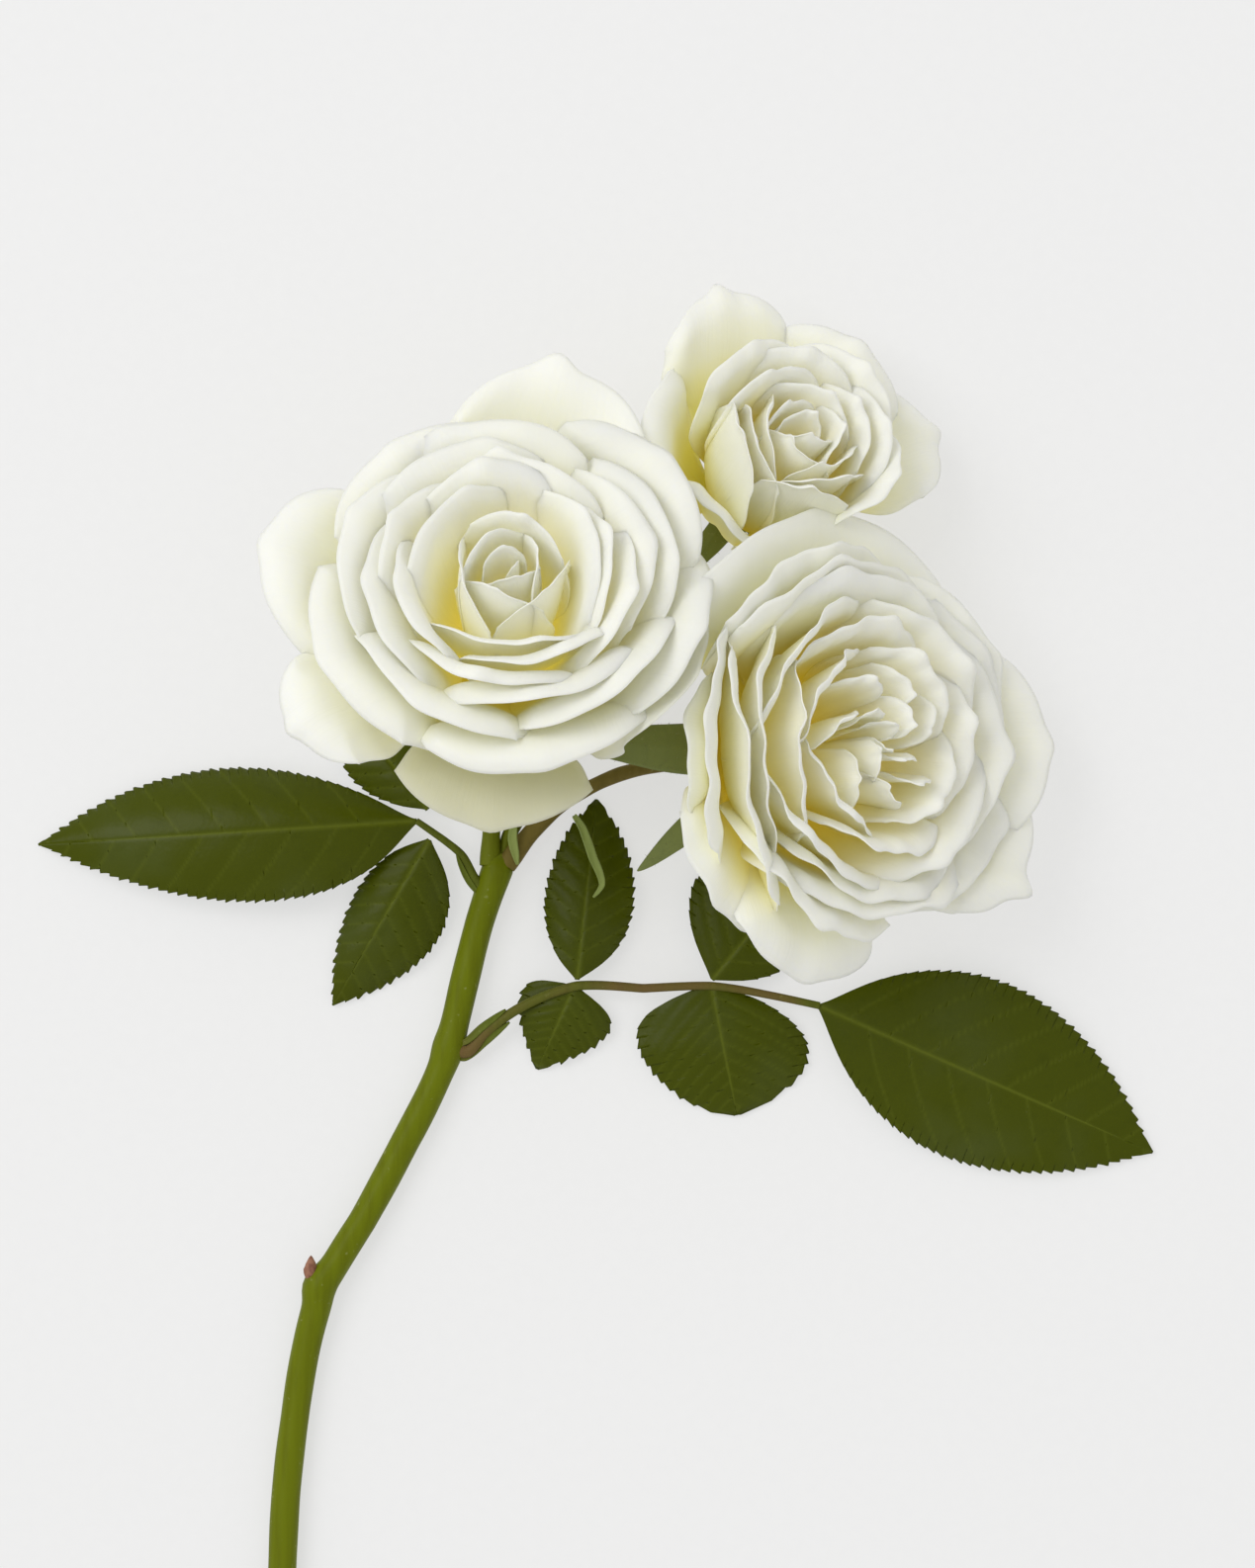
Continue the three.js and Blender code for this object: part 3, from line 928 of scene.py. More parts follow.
    @staticmethod
    def _to_rim(sheet: Array, u: Array, v: Array) -> tuple[Array, Array]:
        """Gives each point's distance along the sheet to its top and to its nearer side."""
        along = np.linalg.norm(np.diff(sheet, axis=0), axis=-1).sum(axis=0)
        across = np.linalg.norm(np.diff(sheet, axis=1), axis=-1).sum(axis=1)
        return (1 - v) * along[None, :], (1 - np.abs(u)) * across[:, None] / 2

    def _rim_distance(self, sheet: Array, u: Array, v: Array) -> Array:
        """Gives each point's distance to the rim, blended where the top meets a side."""
        top, side = self._to_rim(sheet, u, v)
        return -np.log(np.exp(-top) + np.exp(-side)) + math.log(2) * np.exp(-np.abs(top - side))

    def _rolled(self, sheet: Array, u: Array, v: Array, chance: np.random.Generator) -> Array:
        """Rolls the rim back, and adds waves and unevenness.

        Args:
            sheet: The middle surface.
            u: Each point's place across, -1 to 1.
            v: Each point's place along, 0 to 1.
            chance: The petal's source of chance.

        Returns:
            The new middle surface.
        """
        sideways = np.gradient(sheet, axis=1)
        onwards = np.gradient(sheet, axis=0)
        outwards = unit(np.cross(sideways, onwards))
        top, side = self._to_rim(sheet, u, v)
        near = np.minimum(top, side)
        top_share = np.exp(-(top - near) / self.CORNER)
        side_share = np.exp(-(side - near) / self.CORNER) * smooth(0.3, 0.65, v)
        towards = unit(onwards) * top_share[..., None]
        towards = unit(towards + unit(sideways) * (np.sign(u) * side_share)[..., None])
        phase = chance.uniform(0, 2 * math.pi, 8)
        uneven = 1 + 0.25 * np.sin(2.6 * u + phase[0]) + 0.1 * np.sin(5.1 * u + 3 * v + phase[1])
        turn = (self.turn * top_share + self.side_turn * side_share) / (top_share + side_share + 1e-9)
        turn = np.radians(turn) * uneven * np.maximum(top_share, side_share)
        turn = np.where(np.abs(turn) < self.LEAST_TURN, self.LEAST_TURN, turn)
        rolled = np.clip(self.lip - near, 0, None)
        bend = self.lip / turn
        forwards = bend * np.sin(rolled / bend) - rolled
        backwards = bend * (1 - np.cos(rolled / bend))
        sheet = sheet + towards * forwards[..., None] + outwards * backwards[..., None]
        closeness = np.clip(1 - near / (self.WAVE_REACH * self.lip), 0, 1) ** 1.5
        wave = self.ruffle * closeness * np.sin(self.waves * math.pi * u + phase[2])
        wave += 0.5 * self.ruffle * closeness * np.sin(2.3 * self.waves * math.pi * u + phase[3])
        size = self.SWELL * self.reach
        swell = np.sin(2.2 * u + 2.8 * v + phase[4]) + 0.6 * np.sin(4.3 * u - 3.7 * v + phase[5])
        swell += 0.22 * np.sin(7.7 * u + 5.1 * v + phase[6])
        return sheet + outwards * (wave + size * swell * smooth(0.1, 0.6, v))[..., None]


def ring(count: int, start: float, model: Petal, seed: int, jitter: float = 5.0) -> list[Petal]:
    """Sets petals evenly round the axis, each a little different by chance.

    Args:
        count: How many.
        start: The azimuth of the first.
        model: The petal that they vary.
        seed: The first petal's seed.
        jitter: How far an azimuth may be off.

    Returns:
        The petals.
    """
    chance = np.random.default_rng(seed)
    petals = []
    for place in range(count):
        shift, more, higher, aside = chance.uniform(-1, 1, 4)
        changes = {
            "azimuth": start + 360 / count * place + jitter * shift,
            "reach": model.reach * (1 + 0.03 * more),
            "rise": model.rise + 0.6 * higher,
            "slope": model.slope + 4 * shift,
            "point": model.point + 0.025 * abs(more),
            "tip": 0.5 * aside,
            "turn": model.turn * (1 + 0.2 * more),
        }
        petals.append(replace(model, seed=seed + place + 1, **changes))
    return petals


def varied(model: Petal, seed: int, **columns: Sequence[float]) -> list[Petal]:
    """Makes petals that differ from a model.

    Args:
        model: The petal that they vary.
        seed: The first petal's seed, which the others count on from.
        **columns: For each attribute that varies, its value in one petal after the other.

    Returns:
        The petals.
    """
    rows = [dict(zip(columns, row)) for row in zip(*columns.values(), strict=True)]
    return [replace(model, seed=seed + place, **row) for place, row in enumerate(rows)]


def gathered(petals: list[Petal], side: float, more: float) -> list[Petal]:
    """Closes the petals on one side of a bloom, so that they stand steeper and fuller.

    Args:
        petals: The petals.
        side: The azimuth where they close the most.
        more: How much steeper they get there, in degrees.

    Returns:
        The changed petals.
    """
    closed = []
    for petal in petals:
        share = max(0.0, math.cos(math.radians(petal.azimuth - side)))
        slope = petal.slope + more * share
        closed.append(replace(petal, slope=slope, fullness=petal.fullness * (1 + 0.3 * share)))
    return closed


@dataclass
class Bloom:
    """A double bloom: whorls of petals that each stand for a solid, and a heart of inner petals.

    Attributes:
        name: Its name in the solids' names.
        place: Where it is and how it leans.
        whorls: The petals of each whorl, by the whorl's name.
        heart: The inner petals.
    """

    name: str
    place: BloomFrame
    whorls: dict[str, list[Petal]]
    heart: list[Petal]

    def build(self, finish: bpy.types.Material, inner_finish: bpy.types.Material) -> None:
        """Builds and dresses the petals."""
        for whorl, petals in self.whorls.items():
            for number, petal in enumerate(petals, start=1):
                body = petal.body(41, 47)
                body.points = self.place.spray(body.points)
                piece = mesh_object(f"petal_{self.name}_{whorl}_{number}", body)
                node = f"{self.name}_{whorl}_petal_{number}"
                hand_over(piece, Slot.PETAL, finish, node)
        body = join_bodies([petal.body() for petal in self.heart])
        body.points = self.place.spray(body.points)
        piece = mesh_object(f"heart_petals_{self.name}", body)
        hand_over(piece, Slot.INNER_PETAL, inner_finish, f"{self.name}_heart")


def large_bloom() -> Bloom:
    """Sets out the large bloom: high in the middle, with softly rolled lips."""
    guard = Petal(0, 32, 36, 20, 10, whorl=2, lip=9, turn=38, side_turn=45, rounding=0.2)
    outer = Petal(0, 44, 30, 25, 25, whorl=1, lip=8, turn=45, side_turn=40, point=0.02)
    inner = Petal(0, 50, 25.0, 27.8, 46, whorl=0, lip=7, turn=45, side_turn=35, point=0.015)
    cup = replace(inner, whorl=-0.4, turn=40, lip=5)
    barrel = replace(inner, whorl=-1.0, turn=26, side_turn=18, lip=3, fullness=2.3, ramp=0.5, ruffle=0.1)
    return Bloom(
        "large",
        LARGE,
        {
            "inner": ring(5, 20, inner, 100),
            "outer": varied(
                outer, seed=201, azimuth=(42, 128, 205, 281, 345), spread=(44, 46, 46, 50, 42),
                reach=(32, 28.4, 31, 30.5, 30), rise=(26, 26.5, 24, 22.5, 25.5),
                slope=(32, 36, 20, 15, 42),
            ),
            "guard": varied(
                guard, seed=301, azimuth=(75, 167, 212, 266, 334), spread=(52, 38, 23, 32, 38),
                reach=(37, 38.6, 39.6, 34.2, 31), rise=(25, 20, 15.5, 7.5, 21), slope=(34, 8, -4, -12, 50),
                lip=(8, 9, 9, 9, 9), turn=(16, 38, 38, 8, 20), side_turn=(45, 45, 45, 10, 45),
                rounding=(0.28, 0.34, 0.2, 0.18, 0.2), narrowing=(0.38, 0.22, 0.22, 0.05, 0.22),
                point=(0.06, 0.03, 0.03, 0.03, 0.03), tip=(0.12, 0, 0, 0, 0), crease=(0.8, 0, 0, 0, 0),
                # Painted shade: full on the guard petal at 266 degrees, a little on the one at 334.
                shade=(0, 0, 0, 1, 0.2),
            ),
        },
        ring(4, 292, replace(inner, reach=21.2, rise=29.1, slope=55, spread=58), 400, 9)
        + ring(4, 255, replace(cup, reach=18.0, rise=29.8, slope=63, spread=58, point=0.04), 420, 9)
        + ring(4, 284, replace(cup, reach=15.5, rise=30.2, slope=69, spread=60), 430, 8)
        + ring(3, 265, replace(cup, reach=13.2, rise=30.2, slope=76, spread=76, lip=4, point=0.03), 440, 6)
        + varied(
            barrel, seed=451, azimuth=(195, 70, 318), spread=(78, 76, 78), reach=(6.9, 6.6, 6.6),
            rise=(30.2, 31.8, 29.6), slope=(100, 99, 100), point=(0.015, 0.05, 0.015),
        )
        + varied(
            replace(barrel, lip=2), seed=461, azimuth=(250, 130, 10), spread=(80, 85, 85),
            reach=(5.2, 4.5, 4.1), rise=(30.6, 31.9, 31.0), slope=(101, 100, 100),
        )
        + varied(
            barrel, seed=471, azimuth=(290, 110, 330), spread=(110, 110, 120), reach=(2.8, 2.1, 1.1),
            rise=(30.4, 30.8, 30.0), slope=(98, 96, 92), lip=(1.2, 1.0, 0.6),
        ),
    )


def right_bloom() -> Bloom:
    """Sets out the right bloom: a garden rose with a full, quartered middle."""
    guard = Petal(0, 40, 35, 18, 12, whorl=2, lip=8, turn=34, side_turn=45, ruffle=0.5, rounding=0.18)
    outer = Petal(0, 46, 30, 24, 46, whorl=1, lip=6, turn=42, side_turn=38, ruffle=0.45, waves=2.6)
    inner = Petal(0, 47, 24, 26.6, 58, whorl=0, lip=5, turn=38, side_turn=32, ruffle=0.4, waves=2.4)
    fold = Petal(0, 30, 9, 28, 84, whorl=-0.8, lip=2, turn=25, side_turn=15, ruffle=0.3, ramp=3.2)
    return Bloom(
        "right",
        RIGHT,
        {
            "inner": gathered(ring(4, 0, replace(inner, spread=58), 500), 180, 14),
            "outer": gathered(ring(5, 36, outer, 520), 180, 16),
            "guard": varied(
                guard, seed=541, azimuth=(95, 1, 329, 265), spread=(62, 36, 30, 36),
                reach=(35.6, 36.6, 36.6, 37), rise=(18, 25, 24.5, 12), slope=(18, 34, 34, 0),
                rounding=(0.17, 0.18, 0.18, 0.18), narrowing=(0.15, 0.22, 0.22, 0.22),
                point=(0.03, 0.03, 0.08, 0.03), tip=(0, 0, -0.2, 0),
            ),
        },
        varied(
            guard, seed=551, azimuth=(229, 180), spread=(36, 34), reach=(32.5, 27.5), rise=(11.5, 15),
            slope=(12, 40),
        )
        + gathered(ring(4, 8, replace(outer, reach=27, rise=25.4, slope=52, spread=58), 554, 8), 180, 16)
        + gathered(ring(4, 50, replace(inner, reach=20.8, rise=27.4, slope=64, spread=58), 560, 8), 180, 12)
        + gathered(
            ring(4, 5, replace(inner, reach=17.4, rise=27.9, slope=70, spread=58, whorl=-0.3), 580), 180, 10
        )
        + ring(4, 50, replace(inner, reach=13.6, rise=28.1, slope=76, spread=58, whorl=-0.5, lip=3), 600)
        + ring(7, 10, fold, 620, 9)
        + ring(4, 40, replace(fold, reach=4.6, spread=50, ramp=2.2, rise=28.4, lip=1.5, whorl=-1.1), 640)
        + ring(2, 70, replace(fold, reach=2.0, spread=110, ramp=0.6, rise=27.6, lip=0.8, whorl=-1.4), 650),
    )


def top_bloom() -> Bloom:
    """Sets out the top bloom: a half-open cup with loose guards."""
    guard = Petal(0, 38, 24, 17, 20, whorl=2, lip=6, turn=36, side_turn=40, ruffle=0.4, rounding=0.2)
    outer = Petal(0, 50, 15, 23.6, 70, whorl=0.6, lip=4, turn=38, side_turn=30, point=0.04)
    cup = replace(outer, whorl=-0.3, fullness=1.8, lip=3, turn=30)
    return Bloom(
        "top",
        TOP,
        {
            "outer": varied(
                outer, seed=701, azimuth=(48, 120, 192, 264, 336), reach=(16.2, 15.2, 11.2, 10.4, 14.6),
                rise=(23.6, 23.6, 23.6, 24, 23.6), slope=(66, 70, 92, 92, 74),
                fullness=(1.35, 1.35, 2.3, 2.3, 1.5),
            ),
            "guard": varied(
                guard, seed=721, azimuth=(56, 109, 176, 17), spread=(40, 36, 48, 34),
                reach=(25.4, 28.6, 23.8, 28.4), rise=(18, 18, 16.5, 15), slope=(20, 15, 32, 12),
                rounding=(0.2, 0.28, 0.2, 0.2), point=(0.03, 0.06, 0.03, 0.06),
            ),
        },
        varied(
            guard, seed=731, azimuth=(282, 232), spread=(46, 48), reach=(17.5, 18), rise=(14, 15.5),
            slope=(34, 40),
        )
        + varied(
            replace(outer, rise=24, spread=56), seed=733, azimuth=(84, 10), reach=(13.2, 12.8), slope=(76, 78)
        )
        + ring(4, 20, replace(cup, reach=9.6, rise=24.3, slope=84, spread=62), 740)
        + ring(3, 60, replace(cup, reach=7.0, rise=24.2, slope=88, spread=78, lip=2), 760)
        + ring(3, 0, replace(cup, reach=4.8, rise=24.4, slope=92, spread=85, lip=1.4, whorl=-1.1), 780)
        + ring(2, 90, replace(cup, reach=2.4, rise=24.0, slope=92, spread=115, lip=0.8, whorl=-1.4), 790),
    )


# ---- calyxes ------------------------------------------------------------------------------------


@dataclass
class Calyx:
    """A hip and its five sepals, with fine hairs.

    Attributes:
        name: Its bloom's name.
        place: Its bloom's frame.
        azimuths: The sepals' sides.
        fall: How far a sepal's tip bends down, in degrees.
        length: A sepal's length.
        width: A sepal's width.
        lengths: Each sepal's own length, as a multiple of that.
        widths: Each sepal's own width, as a multiple of that.
        hip_length: The hip's length.
        hip_radius: The hip's radius.
        receptacle_radius: The radius where the petals and sepals leave it.
        stalk_radius: The radius where it joins its stalk.
    """

    name: str
    place: BloomFrame
    azimuths: tuple[float, ...]
    fall: float
    length: float
    width: float
    lengths: tuple[float, ...] = (1, 1, 1, 1, 1)
    widths: tuple[float, ...] = (1, 1, 1, 1, 1)
    hip_length: float = 8.0
    hip_radius: float = 3.7
    receptacle_radius: float = 4.6
    stalk_radius: float = 1.15

    TOP = -1.65
    SEPAL_FOOT = -2.3
    FIRST_SEED = 31
    HAIRS = {"Density": 1.2e6, "Length": 0.55 * MM, "Thickness": 0.035 * MM, "Seed": 7}

    def _hip(self) -> Body:
        """Turns the hip's profile about the axis."""
        pole = 0.02
        knots = np.array(
            [
                [pole, -self.hip_length - 0.5],
                [self.stalk_radius, -self.hip_length - 0.4],
                [self.stalk_radius * 1.35, -self.hip_length],
                [self.hip_radius * 0.8, -self.hip_length * 0.8],
                [self.hip_radius, -self.hip_length * 0.55],
                [self.hip_radius * 0.93, -self.hip_length * 0.34],
                [self.receptacle_radius * 0.98, self.TOP - 0.5],
                [self.receptacle_radius * 0.9, self.TOP],
                [pole, self.TOP + 0.1],
            ]
        )
        lengths = travelled(knots)
        places = np.linspace(0, lengths[-1], 40)
        radius = np.interp(places, lengths, knots[:, 0])
        height = np.interp(places, lengths, knots[:, 1])
        sides = 36
        angles = 2 * math.pi * np.arange(sides) / sides
        ribs = 1 + 0.025 * np.cos(5 * angles)
        points = np.stack(
            [
                radius[:, None] * ribs * np.cos(angles),
                radius[:, None] * ribs * np.sin(angles),
                np.repeat(height[:, None], sides, axis=1),
            ],
            axis=-1,
        )
        values = {
            "across": np.tile(np.arange(sides) / sides, len(places)),
            "along": np.repeat(places / places[-1], sides) * 0.2,
            "pale": np.zeros(len(places) * sides),
        }
        return Body(points.reshape(-1, 3), tube_faces(len(places), sides), values)

    def _sepal(self, azimuth: float, length: float, width: float, seed: int) -> Body:
        """Builds a sepal: a pointed strip with a keel, small side lobes and a rolled tip."""
        chance = np.random.default_rng(seed)
        u, v = np.meshgrid(np.linspace(-1, 1, 17), np.linspace(0, 1, 49))
        drop = math.radians(self.fall + chance.uniform(-4, 4)) * self.length / length
        sides = 1 + 0.05 * np.sin(9 * v + 1.5 * np.sign(u) + seed)
        half = width / 2 * (1 - v) ** 0.8 * (0.75 + 0.9 * v) * sides + 0.12 * (1 - v) + 0.08
        along = self.receptacle_radius - 1.2 + length * v * np.cos(drop * v)
        sideways = half * u + 0.9 * np.sin(3.0 * v + chance.uniform(0, 6)) * v * v
        height = self.SEPAL_FOOT - length * v * np.sin(drop * v) - 0.07 * (half * u) ** 2
        height = height + 0.25 * np.exp(-((u / 0.16) ** 2)) * (1 - v) - 0.4 * np.sin(7 * v + seed) * v
        angle = math.radians(azimuth)
        sheet = np.stack(
            [
                along * math.cos(angle) - sideways * math.sin(angle),
                along * math.sin(angle) + sideways * math.cos(angle),
                height,
            ],
            axis=-1,
        )
        thickness = 0.25 + 0.45 * (1 - np.abs(u)) * (1 - v)
        body = shell(sheet, thickness, {"across": (u + 1) / 2, "along": 0.2 + 0.8 * v})
        body.values["pale"] = 1 - body.values["front"]
        return body

    def build(self, skin: bpy.types.Material, hair: bpy.types.Material, hairs: GeometryTree) -> None:
        """Builds and dresses the calyx and its hairs."""
        sepals = []
        for number, (azimuth, longer, wider) in enumerate(zip(self.azimuths, self.lengths, self.widths)):
            seed = self.FIRST_SEED + number
            sepals.append(self._sepal(azimuth, self.length * longer, self.width * wider, seed))
        body = join_bodies([self._hip(), *sepals])
        body.points = self.place.spray(body.points)
        body.points[:, 2] = np.maximum(body.points[:, 2], SURFACE + 0.05)
        piece = mesh_object(f"hip_and_sepals_{self.name}", body)
        hand_over(piece, Slot.CALYX, skin, f"calyx_{self.name}")
        roots = linked("roots", piece.data.copy())
        grown = hairs.run(roots, f"calyx_hairs_{self.name}", self.HAIRS)
        hand_over(grown, Slot.CALYX, hair)


# ---- stalks -------------------------------------------------------------------------------------


@dataclass
class Stalks:
    """The stem, its bud, the pedicels and the leaf stalks, in millimetres from the fork.

    Attributes:
        tree: The tree that sweeps them.
        stem_radius: The stem's radius.
        stem_tail: The stem's length below its lowest bend.
        pedicel_radius: A pedicel's radius.
    """

    tree: GeometryTree
    stem_radius: float = 2.3
    stem_tail: float = 55.0
    pedicel_radius: float = 1.15

    STEP = 0.8
    FORK = (-0.7, 0, 2.4)
    CROTCH = (0.2, 2.3, 2.4)
    STEM_BEND = (-35.2, -112, 2.3)
    STEM_ROUTE = (
        (-34.6, -100, 2.3), (-33.2, -88, 2.3), (-31.2, -76, 2.5), (-28.1, -66, 2.8), (-22.4, -56.5, 2.6),
        (-15.6, -43.9, 2.4), (-9.4, -31.2, 2.3), (-6.3, -19.3, 2.3), (-3.6, -8.6, 2.3),
    )
    SWOLLEN = (-28.6, -66.8, 2.8)
    AXIL = (-8.3, -28.8, 2.3)
    PEDICELS = {
        "large": ((-2.0, 0.4, 2.8), (-1.7, 6.4, 2.3), (-1.6, 14, 2), (-1, 21.5, 4.6), (-0.2, 27.2, 10.8)),
        "right": (
            (0.6, 0.4, 2.8), (4.9, 6, 2.6), (10.6, 10.9, 2.9), (19, 15.1, 4), (28, 16.9, 5.4),
            (33.4, 17.3, 8.6),
        ),
        "top": (
            (0.2, 1.2, 1.9), (1, 5, 1.3), (6.6, 14, 1.5), (15.5, 28, 1.5), (25, 41.5, 1.6),
            (31.4, 49.6, 2.9),
        ),
    }
    LEAF_STALKS = {
        "left_petiole": (
            (-2.9, -3.6, 2.9), (-4.6, -1.2, 3.3), (-6.2, 1.9, 3.8), (-8.3, 3.8, 4.4), (-10.6, 5.5, 4.9),
            (-13.6, 7.6, 5.5),
        ),
        "right_rachis": (
            (-7.8, -28.8, 2.7), (-5.5, -29.3, 3.0), (-3.2, -26.8, 3.2), (2.2, -22.7, 3.6),
            (11.9, -18.8, 3.8), (22.5, -19.2, 3.6), (33.3, -18.8, 3.4), (42.3, -20.2, 3.2),
            (50.8, -22, 2.9),
        ),
    }
    LEAF_STALK_RADII = {"left_petiole": 0.75, "right_rachis": 0.85}
    SWELLING_REACH = 2.4
    FORK_REACH = 4.5
    SWELLING_SHIFT = 0.7
    SLANT_REACH = 6
    SLANT = 0.9
    TIP_LENGTH = 2.6
    BUD_FOOT = (-30.6, -65.6, 3.6)
    BUD_HEADING = (0.02, 1.0, 0.1)
    BUD_LENGTH = 3.7
    BUD_RADIUS = 0.95
    BUD_TIERS = 3
    HIP_FOOT = 8.2
    NECK_LENGTH = 2.8
    TOP_PEDICEL_START = 0.65

    def _sweep(self, name: str, path: Array, radii: Array, *, sides: int, step: float) -> bpy.types.Object:
        """Sweeps a round section along a path."""
        return self.tree.run(path_object([path], [radii]), name, {"Step": step * MM, "Sides": sides})

    @staticmethod
    def _swelling(path: Array, middle: Sequence[float], reach: float) -> Array:
        """Gives, for each point of a path, how near it is to a swelling's middle: 1 there, 0 far off."""
        return np.exp(-((np.linalg.norm(path - np.array(middle), axis=1) / reach) ** 2))

    def _slant(self, piece: bpy.types.Object, end: Array, heading: Array) -> None:
        """Slants the stem's cut end and marks its face as pale.

        Args:
            piece: The stem, in the frame.
            end: The middle of its cut end, in millimetres from the fork.
            heading: The way the stem leaves that end.
        """
        side = unit(np.cross(heading, [0, 0, 1.0]))
        marks = piece.data.attributes.new("pale", "FLOAT", "POINT")
        for vertex, mark in zip(piece.data.vertices, marks.data):
            offset = (np.array(vertex.co) - FORK_IN_FRAME) / MM - end
            share = max(0.0, 1 - float(offset @ heading) / self.SLANT_REACH)
            shift = heading * share * self.SLANT * (self.stem_radius + float(offset @ side))
            vertex.co = Vector(np.array(vertex.co) + shift * MM)
            mark.value = float(share > 0.99)

    def build_stem(self, skin: bpy.types.Material) -> None:
        """Builds and dresses the stem, with its slanted cut end."""
        bend = np.array(self.STEM_BEND)
        cut = bend + unit(bend - np.array(self.STEM_ROUTE[0])) * self.stem_tail
        path = smooth_path([cut, self.STEM_BEND, *self.STEM_ROUTE, self.FORK, self.CROTCH], self.STEP)
        node = self._swelling(path, self.SWOLLEN, self.SWELLING_REACH)
        path[:, 0] -= self.SWELLING_SHIFT * node
        axil = self._swelling(path, self.AXIL, self.SWELLING_REACH)
        fork = self._swelling(path, self.FORK, self.FORK_REACH)
        place = np.arange(len(path))
        uneven = 0.012 * np.sin(place * 0.17) + 0.008 * np.sin(place * 0.43)
        radii = self.stem_radius * (1 + 0.2 * node + 0.14 * axil + 0.12 * fork + uneven)
        to_tip = place[::-1] * self.STEP
        radii = radii * np.sqrt(1 - (1 - np.clip(to_tip / self.TIP_LENGTH, 0.04, 1)) ** 2)
        piece = self._sweep("green_stem", path, radii, sides=40, step=self.STEP)
        self._slant(piece, path[0], unit(path[1] - path[0]))
        hand_over(piece, Slot.STEM, skin, "stem")

    def build_bud(self, finish: bpy.types.Material) -> None:
        """Builds the bud in the axil: an egg shape under three tiers of scales."""
        heading = unit(np.array(self.BUD_HEADING))
        sides = 32
        angle, height = np.meshgrid(2 * math.pi * np.arange(sides) / sides, np.linspace(0, 1, 45))
        radius = self.BUD_RADIUS * np.sin(math.pi * (0.16 + 0.83 * height) ** 0.9) ** 0.75
        for tier in range(self.BUD_TIERS):
            edge = 0.32 + 0.2 * tier + 0.12 * np.cos(2 * angle + 2.1 * tier)
            radius = radius * (1 + 0.07 * (1 - smooth(-0.01, 0.02, height - edge)))
        points = np.stack([radius * np.cos(angle), radius * np.sin(angle), self.BUD_LENGTH * height], axis=-1)
        turn = np.array(Vector((0, 0, 1)).rotation_difference(Vector(heading)).to_matrix())
        points = points.reshape(-1, 3) @ turn.T + np.array(self.BUD_FOOT)
        piece = mesh_object("bud_scales", Body(points, tube_faces(*angle.shape)))
        hand_over(piece, Slot.BUD, finish, "axillary_bud")

    def build_pedicels(self, skins: dict[str, bpy.types.Material], blooms: Sequence[Bloom]) -> None:
        """Builds and dresses the flower stalks."""
        for bloom in blooms:
            hip = np.array(bloom.place.base) - bloom.place.axis * self.HIP_FOOT
            below = hip - self.NECK_LENGTH * bloom.place.axis
            path = smooth_path([*self.PEDICELS[bloom.name], below, hip], self.STEP)
            share = np.linspace(0, 1, len(path))
            start = self.TOP_PEDICEL_START if bloom.name == "top" else 1.0
            radii = self.pedicel_radius * (start + (1 - start) * np.minimum(1, 4 * share))
            radii = radii * (1 + 0.25 * smooth(0.93, 1.0, share) + 0.4 * (1 - smooth(0, 0.35, share)))
            radii = radii * (1 + 0.03 * np.sin(share * 40))
            piece = self._sweep(f"flower_stalk_{bloom.name}", path, radii, sides=28, step=0.6)
            hand_over(piece, Slot.PEDICEL, skins[bloom.name], f"pedicel_{bloom.name}")

    def build_leaf_stalks(self, skin: bpy.types.Material) -> None:
        """Builds and dresses the leaf stalks."""
        for name, route in self.LEAF_STALKS.items():
            path = smooth_path(route, step=0.6)
            share = np.linspace(0, 1, len(path))
            radius = self.LEAF_STALK_RADII[name]
            radii = radius * (1 - 0.3 * share) * (1 + 0.4 * (1 - smooth(0, 0.1, share)))
            piece = self._sweep(f"leaf_stalk_{name}", path, radii, sides=24, step=0.5)
            hand_over(piece, Slot.LEAF_STALK, skin, name)


# ---- leaves -------------------------------------------------------------------------------------


